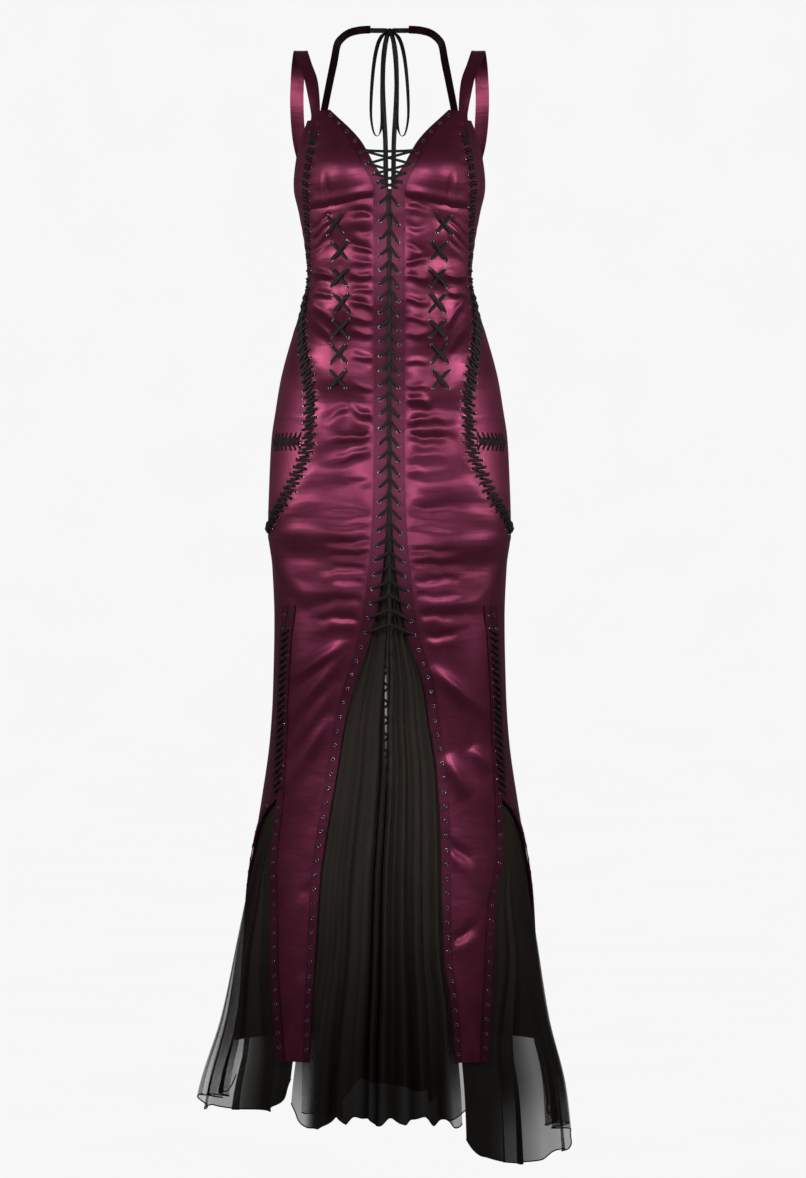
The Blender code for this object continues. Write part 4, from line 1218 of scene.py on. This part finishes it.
def make_straps():
    """Shoulder and halter straps, sewn under the satin's edges, with a row of stitches along each side."""
    for side, tag in SIDES:
        front = outline(side, 64, -98) - outline(side, 55, -98)
        back = outline(side, 108, -210) - outline(side, 120, -210)
        over = outline(side, 50, -98) - outline(side, 42, -98)
        shoulder = [
            (plain_skin(side, 57.5, -106, STRAP_SINK), front),
            (plain_skin(side, 58, -91, STRAP_SINK), front),
            *mirrored(side, SHOULDER_ROUTE),
            (plain_skin(side, 107, -164, STRAP_SINK - 3), (side, -0.9, 0)),
            (plain_skin(side, 114, -200, STRAP_SINK - 1), back),
            (plain_skin(side, 114, -222, STRAP_SINK - 1), back),
        ]
        halter = [(plain_skin(side, 50, z, HALTER_SINK), over) for z in (-106, -91)]
        halter += mirrored(side, HALTER_ROUTE)
        # The halter strap takes the strap satin, whose darker colour is painted shade
        for name, stations, width, facing, paint, slot in (
                ("shoulder_strap", shoulder, STRAP_WIDTH, (0, 0, 1), "satin", "satin"),
                ("halter_strap", halter, HALTER_WIDTH, (side, 1, 1), "strap", "satin_band")):
            grid = tape_grid(stations, width)
            strap = cloth(name + tag + "_cloth", grid, STRAP_WALL, finish(paint), facing)
            place_piece(strap, [name + tag])
            rows = edge_rows(grid, facing, STRAP_WALL + 0.2)
            place_piece(stitches(name + "_stitches" + tag, rows, *FINE_STITCH))


def gather(waves, share):
    """Depth, from 0 to 1, of the uneven folds across a godet."""
    uneven = share + np.sin(2 * math.pi * share * 1.7 + waves) / (2 * waves)
    uneven = uneven + 0.2 / waves * np.sin(2 * math.pi * share * 4.1 + 0.6)
    return 0.5 - 0.5 * np.cos(2 * math.pi * waves * uneven)


def swing(waves, depth, share, fall):
    """How far a godet's folds, and the small ripples between them, reach in behind its edges."""
    ripple = fall ** 1.2 * (1.9 * np.sin(2 * math.pi * (1.7 * waves * share + 0.5 * fall))
                            + 0.9 * np.sin(2 * math.pi * (3.1 * waves * share - 0.3 * fall) + 1.3))
    return depth * fall ** 1.3 * gather(waves, share) + ripple + 4 * fall ** 1.2


def hung(angle, z, sink):
    """Points of a godet at signed angles and levels, set in from the plain body."""
    side = np.where(angle < 0, -1, 1)
    turn = np.abs(angle)
    return outline(side, turn, z) + outward(side, np.minimum(turn, 179), z) * sink[:, None]


def widened(z):
    """Share of a godet's full reach beyond its edges at a level."""
    return ease_out((REACH_TOP_Z - z) / (REACH_TOP_Z - PANEL_HEM_Z))


def godet_grid(top, edges, reaches, waves, depth, sink_at_edge, flare, rows_down, columns):
    """Points of a gathered godet that hangs behind the panels' edges and widens to the hem."""
    share = np.linspace(0, 1, columns + 1)
    near = np.minimum(share, 1 - share)
    rows = []
    for fall in np.linspace(0, 1, rows_down + 1):
        start, end = edges(top + (PANEL_HEM_Z - top) * min(fall * 1.12, 1))
        z = top + (value("hem", 1, start + (end - start) * share) - top) * fall
        z += max(fall - 0.8, 0) / 0.2 * (10 * np.abs(np.sin(math.pi * waves * 0.8 * share + 0.7)) - 5
                                         + 2 * np.sin(2 * math.pi * waves * 1.3 * share)
                                         + 26 * np.clip(1 - near / 0.07, 0, 1) ** 2)
        start, end = edges(np.maximum(z, PANEL_HEM_Z))
        start = start - widened(z) * reaches[0]
        end = end + widened(z) * reaches[1]
        sink = sink_at_edge - swing(waves, depth, share, fall) * ease_out(near * 12)
        sink = sink + flare * max(fall - 0.1, 0) * ease_out((near - 0.08) * 4)
        rows.append(hung(start + (end - start) * share, z, sink))
    return np.array(rows)


def front_godet_edges(z):
    """Signed angles of the front godet's edges at a level."""
    return [side * angle_at(front_edge(side, z) + GODET_TUCK, z) for side in (-1, 1)]


def side_godet_edges(side):
    """Signed angles of a side godet's edges, as a function of level."""
    def edges(z):
        tuck = turn_for(GODET_TUCK, side, 80.0, z)
        ends = side * (side_seam(side, z) - tuck), side * (value("back_edge", 1, z) + tuck)
        return ends[::side]
    return edges


def back_godet_grid(rows_down, columns):
    """Points of the back godet, which trails out into a short train."""
    share = np.linspace(-1, 1, columns + 1)
    near = 1 - np.abs(share)
    rows = []
    for fall in np.linspace(0, 1, rows_down + 1):
        z = BACK_GODET_TOP_Z + (BACK_HEM_Z - BACK_GODET_TOP_Z) * fall
        z = z + 5 * max(fall - 0.8, 0) / 0.2 * np.sin(15 * share)
        edge = angle_at(value("back_centre", 1, z) + GODET_TUCK, z, back=True) - BACK_REACH * widened(z)
        angle = 180 - (180 - edge) * np.abs(share)
        sink = GODET_SINK - swing(BACK_WAVES, FRONT_DEPTH, (share + 1) / 2, fall) * ease_out(near * 6)
        sink = sink + TRAIN_REACH * fall ** 3 * ease_out((near - 0.3) / 0.5)
        rows.append(hung(np.where(share < 0, -angle, angle), z, sink))
    return np.array(rows)


def make_godet(name, grid, cover):
    """A godet that is as sheer as its cover says, and the line of its hem."""
    godet = cloth(name + "_cloth", grid, CHIFFON_WALL, finish("chiffon"), cover=cover)
    place_piece(godet, [name])
    return grid[-1]


def make_chiffon():
    """Four godets, sheer where one layer hangs free, each with a narrow rolled hem."""
    grid = godet_grid(GODET_TOP_Z + 80, front_godet_edges, FRONT_REACH, FRONT_WAVES, FRONT_DEPTH,
                      GODET_SINK, 0, *FRONT_GRID)
    fall = np.linspace(0, 1, grid.shape[0])[:, None]
    share = np.linspace(0, 1, grid.shape[1])
    low = ease_out(fall * 6 - 5)
    cover = 0.88 + 0.04 * gather(FRONT_WAVES, share) * fall
    cover = cover - 0.50 * low * (ease_out((0.13 - share) * 14) + ease_out((share - 0.9) * 14))
    # Thin places over the open lacing at the back let the light through
    slits = np.exp(-((grid[..., 0] + 5) / 1.6) ** 2) * ease_out((-845 - grid[..., 2]) / 40)
    cover = cover - 0.45 * slits * ease_out((grid[..., 2] + 1010) / 90)
    hems = [make_godet("front_godet", grid, cover)]
    # Share across where the sheer cloth starts, how sheer it is, and where the free hem starts
    for (side, tag), reaches, flare, first, deep, free in zip(
            SIDES, (LEFT_REACH, RIGHT_REACH), (LEFT_FLARE, 0), (0.17, 0.22), (0.52, 0.30), (0.5, 0.08)):
        grid = godet_grid(SIDE_GODET_TOP_Z, side_godet_edges(side), reaches, SIDE_WAVES, SIDE_DEPTH,
                          SIDE_GODET_SINK, flare, *SIDE_GRID)
        from_front = np.linspace(0, 1, grid.shape[1])[::side]
        fall = np.linspace(0, 1, grid.shape[0])[:, None]
        sheer = ease_out((from_front - first) * 8) * ease_out(fall * 4)
        cover = 0.92 - deep * sheer - 0.18 * ease_out((from_front - first - 0.18) * 6) * ease_out(fall * 4)
        cover = cover - 0.18 * ease_out(fall * 5 - 3.8) * ease_out((from_front - free) * 6)
        cover = cover + 0.20 * sheer * gather(5, from_front) ** 3 * (1 - fall * 0.4)
        if side > 0:
            # The outermost gather turns over into a small dark ruffle
            ruffle = ((grid[..., 2] + 1395) / 38) ** 2 + ((from_front - 0.60) / 0.12) ** 2
            cover = cover + 0.16 * np.exp(-ruffle)
        hems.append(make_godet("side_godet" + tag, grid, cover))
    grid = back_godet_grid(*BACK_GRID)
    across = np.abs(np.linspace(-2, 2, grid.shape[1]))
    cover = np.ones(grid.shape[:2]) * (0.70 - 0.45 * ease_out(across - 1))
    hems.append(make_godet("back_godet", grid, cover))
    radius = bpy.context.scene.gown_sizes.rolled_hem / MM
    place_piece(cords("rolled_hems", hems, radius, finish("ribbon")))


def make_neck_tie():
    """Knot at the nape, a flattened bead with the ribbon's turns round it, its bow and its ribbons."""
    around, up = np.meshgrid(np.linspace(0, 2 * math.pi, 49)[:-1], np.linspace(0.001, math.pi - 0.001, 25))
    turns = 1 + 0.05 * np.cos(9 * up + 1.5 * np.sin(around))
    ball = np.stack([np.sin(up) * np.cos(around), np.sin(up) * np.sin(around), np.cos(up)], -1)
    knot = ring_mesh("neck_knot_ribbon", (ball * turns[..., None] * KNOT_HALF_SIZE + KNOT_AT) * MM)
    knot.shade_smooth()
    knot.materials.append(finish("ribbon"))
    place_piece(link("neck_knot_ribbon", knot), ["neck_knot"])
    for side, tag in SIDES:
        grid = tape_grid(mirrored(side, NECK_ROUTE), RIBBON_WIDTH)
        ribbon = cloth("neck_ribbon" + tag + "_cloth", grid, NECK_RIBBON_WALL, finish("ribbon"), (0, 1, 0))
        place_piece(ribbon, ["neck_ribbon" + tag])
        for name, route, far_end in (("bow_loop", LOOP_ROUTE, "object"), ("tie_end", END_ROUTE, "bare")):
            stations = mirrored(side, route)
            grid = tape_grid(stations, RIBBON_WIDTH, RIBBON_STEPS, crown=0.4)
            piece = cloth(name + tag + "_ribbon", grid, BOW_RIBBON_WALL, finish("ribbon"), (0, 1, 0.01))
            place_piece(piece, [name + tag])


def lace(kind, chains, nodes=(), tag=""):
    """Lacing along chains of points, which stands for its solids."""
    radius = LACE_RADII[kind] * bpy.context.scene.gown_sizes.laces
    cord = cords(kind + "_lacing" + tag, chains, radius, finish("lace"))
    place_piece(cord, nodes)


def front_lace():
    """Two cords down the front, with an arm to each eyelet."""
    lift = LACE_LIFT + 2.0
    chains = [[over_gap(x + 0.6 * math.sin(z / 7), z, lift - 0.5)
               for z in np.arange(FRONT_LACE_TOP_Z + 10, FRONT_LACE_END_Z, -4.0)] for x in (-0.9, 0.9)]
    for i in range(FRONT_LACE_ROWS):
        top = FRONT_LACE_TOP_Z - i * EYELET_PITCH
        for side in (-1, 1):
            low = top - FRONT_LACE_DROP - (RIGHT_ROW_DROP if side > 0 else 0)
            end = eyelet_across(side, low)
            chains.append([over_gap(side * x, z, lift + up) for x, z, up in (
                (0.6, top + 1, 0.8), (end * 0.35, top - 3, 1.4), (end * 0.7, (top + low) / 2 - 2, 1.0),
                (end - 1.8, low + 1.6, -1.0))])
    return chains


def neck_lace():
    """Two cords that cross down the open neck, and a bar over its top."""
    chains = []
    for side, up in ((-1, 0.4), (1, 2.2)):
        for (x0, z0), (x1, z1) in zip(NECK_LACE, NECK_LACE[1:]):
            chains.append([over_gap(side * (x0 + (-x1 - x0) * t), z0 + (z1 - z0) * t, LACE_LIFT + up)
                           for t in np.linspace(0, 1, 9)])
            side = -side
    half, top = NECK_LACE[0]
    chains.append([over_gap(x, top - 1.5 * math.cos(x / 24), LACE_LIFT + 1.0)
                   for x in np.linspace(-half - 1, half + 1, 13)])
    return chains


def crossed_lace(side):
    """Crossed pairs of cords down one front panel."""
    chains = []
    for level, across in zip(X_LACE_LEVELS, X_LACE_ACROSS):
        for slant, up in ((1, 2.8), (-1, 4.8)):
            for apart in (-1.1, 1.1):
                chains.append([skin(side, angle_at(across + u * 0.84 + apart, level + slant * u),
                                    level + slant * u, up - 1.6 * abs(u / X_LACE_REACH) ** 3)
                               for u in np.linspace(-X_LACE_REACH, X_LACE_REACH, 7)])
    return chains


def seam_chain(side, z, route):
    """A cord across the laced side seam, through offsets, drops and lifts."""
    return [across_seam(side, z + drop, off, up)[0] for off, drop, up in route]


def hip_lace(side):
    """Slanting cords over the hip's curved seam, joined by short ones along it."""
    levels = seam_levels(side, *HIP_LACE_RUN)
    chains = [seam_chain(side, z, (
        (-HIP_LACE_REACH, 3, 2.4), (-4, 1.5, 4.2), (4, -1.5, 4.2), (HIP_LACE_REACH, -3, 2.4)))
        for z in levels]
    for z0, z1 in zip(levels, levels[1:]):
        chains.append(seam_chain(side, z0, ((-5, -2, 3.4), (0, (z1 - z0) / 2, 3.4), (5, z1 + 2 - z0, 3.4))))
    return chains


def side_lace(side):
    """Ribs of cord over the side seam above the hip."""
    reach = SIDE_LACE_REACH
    chains = []
    for z in seam_levels(side, *SIDE_LACE_RUN):
        chains.append(seam_chain(side, z, ((-reach, 0, 2.2), (-2.5, 0, 3.8), (2.5, 0, 3.8), (reach, 0, 2.2))))
        chains.append(seam_chain(side, z, ((-reach, -4, 2.2), (0, -4, 3.4), (reach, -4, 2.2))))
    return chains


def bar_lace(side):
    """Short bar of lacing that runs back from the hip's curved seam, long and short teeth in turn."""
    start = side_seam(side, HIP_BAR_Z) + turn_for(HIP_LACE_REACH + 6, side, 60.0, HIP_BAR_Z)
    pitch = turn_for(HIP_BAR_PITCH, side, 70.0, HIP_BAR_Z)
    chains = []
    for i in range(HIP_BAR_TEETH * 2 - 1):
        angle = start + (i + 0.4) * pitch / 2
        for way in (-1, 1):
            chains.append([skin(side, angle + lean * pitch, HIP_BAR_Z + way * off, up) for lean, off, up in (
                (-0.45, 12.5 - 6.5 * (i % 2), 2.0), (-0.05, 4, 3.2), (0.25, 0, 3.4))])
    chains.append([skin(side, start + share * pitch * HIP_BAR_TEETH, HIP_BAR_Z, 3.0)
                   for share in np.linspace(-0.06, 1, 8)])
    return chains


def slit_lace(side):
    """Slanting cords over the side slit."""
    edge = LACE_LIFT + 0.8
    ridge = LACE_LIFT + 2.2
    return [seam_chain(side, z, ((-7, 4, edge), (-3, 1, ridge), (3, -2, ridge), (7, -5, edge)))
            for z in np.arange(*SLIT_LACE_RUN, -SLIT_PITCH / 2)]


def back_lace():
    """Two cords that cross down the back."""
    chains = []
    for side, up in ((-1, 2.2), (1, 4.2)):
        z = BACK_LACE_TOP_Z
        while z - BACK_LACE_PITCH > BACK_LACE_END_Z:
            chains.append([over_gap(side * BACK_LACE_REACH * (1 - 2 * t), z - BACK_LACE_PITCH * t,
                                    LACE_LIFT + up, back=True) for t in np.linspace(0, 1, 7)])
            side = -side
            z -= BACK_LACE_PITCH
    return chains


def make_laces():
    """All lacing: the front, the open neck, crossed pairs, hips, side seams, slits and back."""
    lace("front", front_lace(), ["front_lace"])
    lace("neck", neck_lace(), ["neck_lace_under", "neck_lace_over"])
    for side, tag in SIDES:
        crosses = ["cross_lace%s_%d" % (tag, i + 1) for i in range(len(X_LACE_LEVELS))]
        lace("crossed", crossed_lace(side), crosses, tag)
        lace("hip", hip_lace(side), ["hip_lace" + tag], tag)
        lace("side_seam", side_lace(side), (), tag)
        lace("hip_bar", bar_lace(side), ["hip_bar_lace" + tag], tag)
        lace("slit", slit_lace(side), (), tag)
    lace("back", back_lace(), ["back_lace_under", "back_lace_over"])


def make_eyelets():
    """Eyelets in the front bands, beside the laced seams, along the slits and down the back."""
    lift = SATIN_WALL + 0.2
    band_lift = BAND_LIFT + lift
    front = []
    seams = []
    slits = []
    back = []
    for side in (-1, 1):
        def band_middle(z):
            return outline(side, angle_at(front_edge(side, z) + value("band", 1, z) * 0.5, z), z)

        drop = FRONT_LACE_DROP + (RIGHT_ROW_DROP if side > 0 else 0)
        rows = FRONT_LACE_TOP_Z - drop - EYELET_PITCH * np.arange(FRONT_LACE_ROWS)
        for z in (*rows, *spaced(band_middle, *NECK_EYELET_RUN),
                  *spaced(band_middle, rows[-1] - EYELET_PITCH, PANEL_HEM_Z + 8, EYELET_PITCH)):
            front.append(seat(side, angle_at(eyelet_across(side, z), z), z, band_lift))
        for level, across in zip(X_LACE_LEVELS, X_LACE_ACROSS):
            for u, v in ((1, 1), (1, -1), (-1, 1), (-1, -1)):
                z = level + v * (X_LACE_REACH + 1.5)
                seams.append(seat(side, angle_at(across + u * (X_LACE_REACH - 0.2), z), z, lift))
        for run, reach, slant in ((HIP_LACE_RUN, HIP_LACE_REACH + 1.5, 3),
                                  (SIDE_LACE_RUN, SIDE_LACE_REACH + 1.5, 0)):
            for z in seam_levels(side, *run):
                seams += [across_seam(side, z - way * slant, way * reach, lift) for way in (-1, 1)]
        for z in np.arange(SLIT_TOP_Z - 14, PANEL_HEM_Z + 8, -SLIT_PITCH):
            for lines, low in ((front_columns, 4), (back_columns, 0)):
                slits.append(seat(side, sum(lines(side, z)[low:low + 2]) / 2, z, band_lift))
        for z in np.arange(BACK_LACE_TOP_Z, PANEL_HEM_Z + 8, -BACK_LACE_PITCH):
            back.append(seat(side, sum(back_columns(side, z)[4:]) / 2, z, band_lift))
    for place, seats in (("front", front), ("seam", seams), ("slit", slits), ("back", back)):
        eyelets(place + "_eyelets", seats, *EYELET_SIZES[place])


def soft_light(name, at, aim, size, power, spread=180):
    """A rectangular light at a place, turned to its aim, with its beam's spread in degrees."""
    lamp = bpy.data.lights.new(name, "AREA")
    lamp.shape = "RECTANGLE"
    lamp.size, lamp.size_y = size
    lamp.energy = power
    lamp.spread = math.radians(spread)
    placed = link(name, lamp)
    placed.location = at
    placed.rotation_euler = (Vector(aim) - Vector(at)).to_track_quat("-Z", "Y").to_euler()


def make_stage():
    """Pale paper that curves up all round the gown, soft lights, and the photograph's camera."""
    scene = bpy.context.scene
    bend = np.linspace(0, math.pi / 2, 9)
    out = np.append(PAPER_RADIUS + PAPER_BEND * np.sin(bend), PAPER_RADIUS + PAPER_BEND)[:, None]
    up = np.append(FLOOR_Z + PAPER_BEND - PAPER_BEND * np.cos(bend), PAPER_TOP_Z)[:, None]
    around = np.linspace(0, 2 * math.pi, PAPER_SIDES + 1)[:-1]
    rings = np.stack([out * np.cos(around), out * np.sin(around), up + 0 * around], -1)
    paper = link("paper", ring_mesh("paper", rings))
    paper.data.materials.append(backdrop_paper(scene.gown_stage.paper))
    paper.visible_glossy = False
    paper.visible_diffuse = False
    paper.visible_shadow = False

    world = bpy.data.worlds.new("studio")
    scene.world = world
    world.use_nodes = True
    set_inputs(world.node_tree, world.node_tree.nodes["Background"], {
        "Color": linear("#FFFFFF"), "Strength": scene.gown_stage.fill})
    scene.view_settings.view_transform = "Standard"
    key = scene.gown_stage.key
    soft_light("key", (0, -2.6, -0.56), (0, 0, -0.33), (1.0, 0.70), key, 7)
    for side, tag in SIDES:
        soft_light("side" + tag, (side * 2.5, -1.3, -0.38), (0, 0, -0.40), (0.9, 0.5), key * 0.95, 14)
        # A narrow beam from above catches only the ridges of the folds over the thighs
        soft_light("kicker" + tag, (side * 1.1, -2.1, 0.60), (side * 0.095, -0.15, -0.95), (0.5, 0.3),
                   key * 0.4, 14)
    soft_light("back", (0, 3.2, 1.4), (0, 0, -0.6), (2.4, 1.0), key * 13)

    camera = bpy.data.cameras.new("photo_camera")
    camera.sensor_fit = "VERTICAL"
    camera.sensor_height = 36
    camera.lens = CAMERA_LENS
    scene.camera = link("photo_camera", camera)
    scene.camera.location = CAMERA_AT
    scene.camera.rotation_euler = (math.pi / 2, 0, 0)


# Add-on

class GownSizes(bpy.types.PropertyGroup):
    eyelets: bpy.props.FloatProperty(name="Eyelets", description="Size of the eyelets against real ones",
                                     default=1, min=0.5, max=1.4, subtype="FACTOR")
    laces: bpy.props.FloatProperty(name="Laces", description="Thickness of the laces against real ones",
                                   default=1, min=0.5, max=1.2, subtype="FACTOR")
    stitches: bpy.props.FloatProperty(name="Stitches", description="Size of the stitches against real ones",
                                      default=1, min=0.5, max=2, subtype="FACTOR")
    rolled_hem: bpy.props.FloatProperty(name="Rolled hem", description="Radius of the chiffon's rolled hems",
                                        default=0.0009, min=0.0005, max=0.002, unit="LENGTH")


class GownColours(bpy.types.PropertyGroup):
    satin_dark: bpy.props.StringProperty(name="Satin, dark", description="Deeper satin colour, sRGB hex",
                                         default="#6E2B43")
    satin_light: bpy.props.StringProperty(name="Satin, light", description="Lighter satin colour, sRGB hex",
                                          default="#8A3A58")
    band_dark: bpy.props.StringProperty(name="Band, dark", description="Deeper band colour, sRGB hex",
                                        default="#5A2338")
    band_light: bpy.props.StringProperty(name="Band, light", description="Lighter band colour, sRGB hex",
                                         default="#6E2E49")
    chiffon: bpy.props.StringProperty(name="Chiffon", description="Chiffon colour, sRGB hex",
                                      default="#29241F")
    lace: bpy.props.StringProperty(name="Laces", description="Lacing cord colour, sRGB hex",
                                   default="#14110E")


class GownStage(bpy.types.PropertyGroup):
    paper: bpy.props.StringProperty(name="Paper", description="Backdrop colour, sRGB hex", default="#F6F6F6")
    key: bpy.props.FloatProperty(name="Key light", description="Power of the front light", default=0.60,
                                 min=0, unit="POWER")
    fill: bpy.props.FloatProperty(name="Fill", description="Strength of the light from all round",
                                  default=0.11, min=0, max=2, subtype="FACTOR")


class GOWN_OT_stage(bpy.types.Operator):
    """Sets the paper, the lights and the camera."""
    bl_idname = "gown.stage"
    bl_label = "Studio"

    def execute(self, context):
        make_stage()
        return {"FINISHED"}


class GOWN_OT_neck_tie(bpy.types.Operator):
    """Ties the ribbon at the nape, with its loops and hanging ends."""
    bl_idname = "gown.neck_tie"
    bl_label = "Neck tie"

    def execute(self, context):
        make_neck_tie()
        return {"FINISHED"}


class GOWN_OT_panels(bpy.types.Operator):
    """Lays the satin cups and panels with their folds."""
    bl_idname = "gown.panels"
    bl_label = "Satin panels"

    def execute(self, context):
        make_patches(PANELS, "satin")
        return {"FINISHED"}


class GOWN_OT_bands(bpy.types.Operator):
    """Lays the eyelet bands over the panels' edges."""
    bl_idname = "gown.bands"
    bl_label = "Eyelet bands"

    def execute(self, context):
        make_patches(BANDS, "satin_band")
        return {"FINISHED"}


class GOWN_OT_straps(bpy.types.Operator):
    """Sews the shoulder and halter straps."""
    bl_idname = "gown.straps"
    bl_label = "Straps"

    def execute(self, context):
        make_straps()
        return {"FINISHED"}


class GOWN_OT_chiffon(bpy.types.Operator):
    """Hangs the gathered chiffon godets."""
    bl_idname = "gown.chiffon"
    bl_label = "Chiffon godets"

    def execute(self, context):
        make_chiffon()
        return {"FINISHED"}


class GOWN_OT_laces(bpy.types.Operator):
    """Threads all the lacing."""
    bl_idname = "gown.laces"
    bl_label = "Lacing"

    def execute(self, context):
        make_laces()
        return {"FINISHED"}


class GOWN_OT_eyelets(bpy.types.Operator):
    """Sets the metal eyelets."""
    bl_idname = "gown.eyelets"
    bl_label = "Eyelets"

    def execute(self, context):
        make_eyelets()
        return {"FINISHED"}


class GOWN_OT_stitching(bpy.types.Operator):
    """Sews the stitches along the bands and under the bust."""
    bl_idname = "gown.stitching"
    bl_label = "Stitching"

    def execute(self, context):
        make_stitching()
        return {"FINISHED"}


STEPS = (GOWN_OT_stage, GOWN_OT_neck_tie, GOWN_OT_panels, GOWN_OT_bands, GOWN_OT_straps, GOWN_OT_chiffon,
         GOWN_OT_laces, GOWN_OT_eyelets, GOWN_OT_stitching)


GROUPS = {"gown_sizes": GownSizes, "gown_colours": GownColours, "gown_stage": GownStage}


class GOWN_PT_panel(bpy.types.Panel):
    """Lists the gown's sizes, colours and pieces."""
    bl_idname = "GOWN_PT_panel"
    bl_label = "Corset gown"
    bl_space_type = "VIEW_3D"
    bl_region_type = "UI"
    bl_category = "Gown"

    def draw(self, context):
        for group, kind in GROUPS.items():
            for name in kind.__annotations__:
                self.layout.prop(getattr(context.scene, group), name)
        for step in STEPS:
            self.layout.operator(step.bl_idname)


CLASSES = (*GROUPS.values(), *STEPS, GOWN_PT_panel)


def register():
    for kind in CLASSES:
        bpy.utils.register_class(kind)
    for name, kind in GROUPS.items():
        setattr(bpy.types.Scene, name, bpy.props.PointerProperty(type=kind))


def unregister():
    for name in GROUPS:
        delattr(bpy.types.Scene, name)
    for kind in reversed(CLASSES):
        bpy.utils.unregister_class(kind)


def main():
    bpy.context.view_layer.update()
    register()
    for step in STEPS:
        group, name = step.bl_idname.split(".")
        getattr(getattr(bpy.ops, group), name)()


if __name__ == "__main__":
    main()
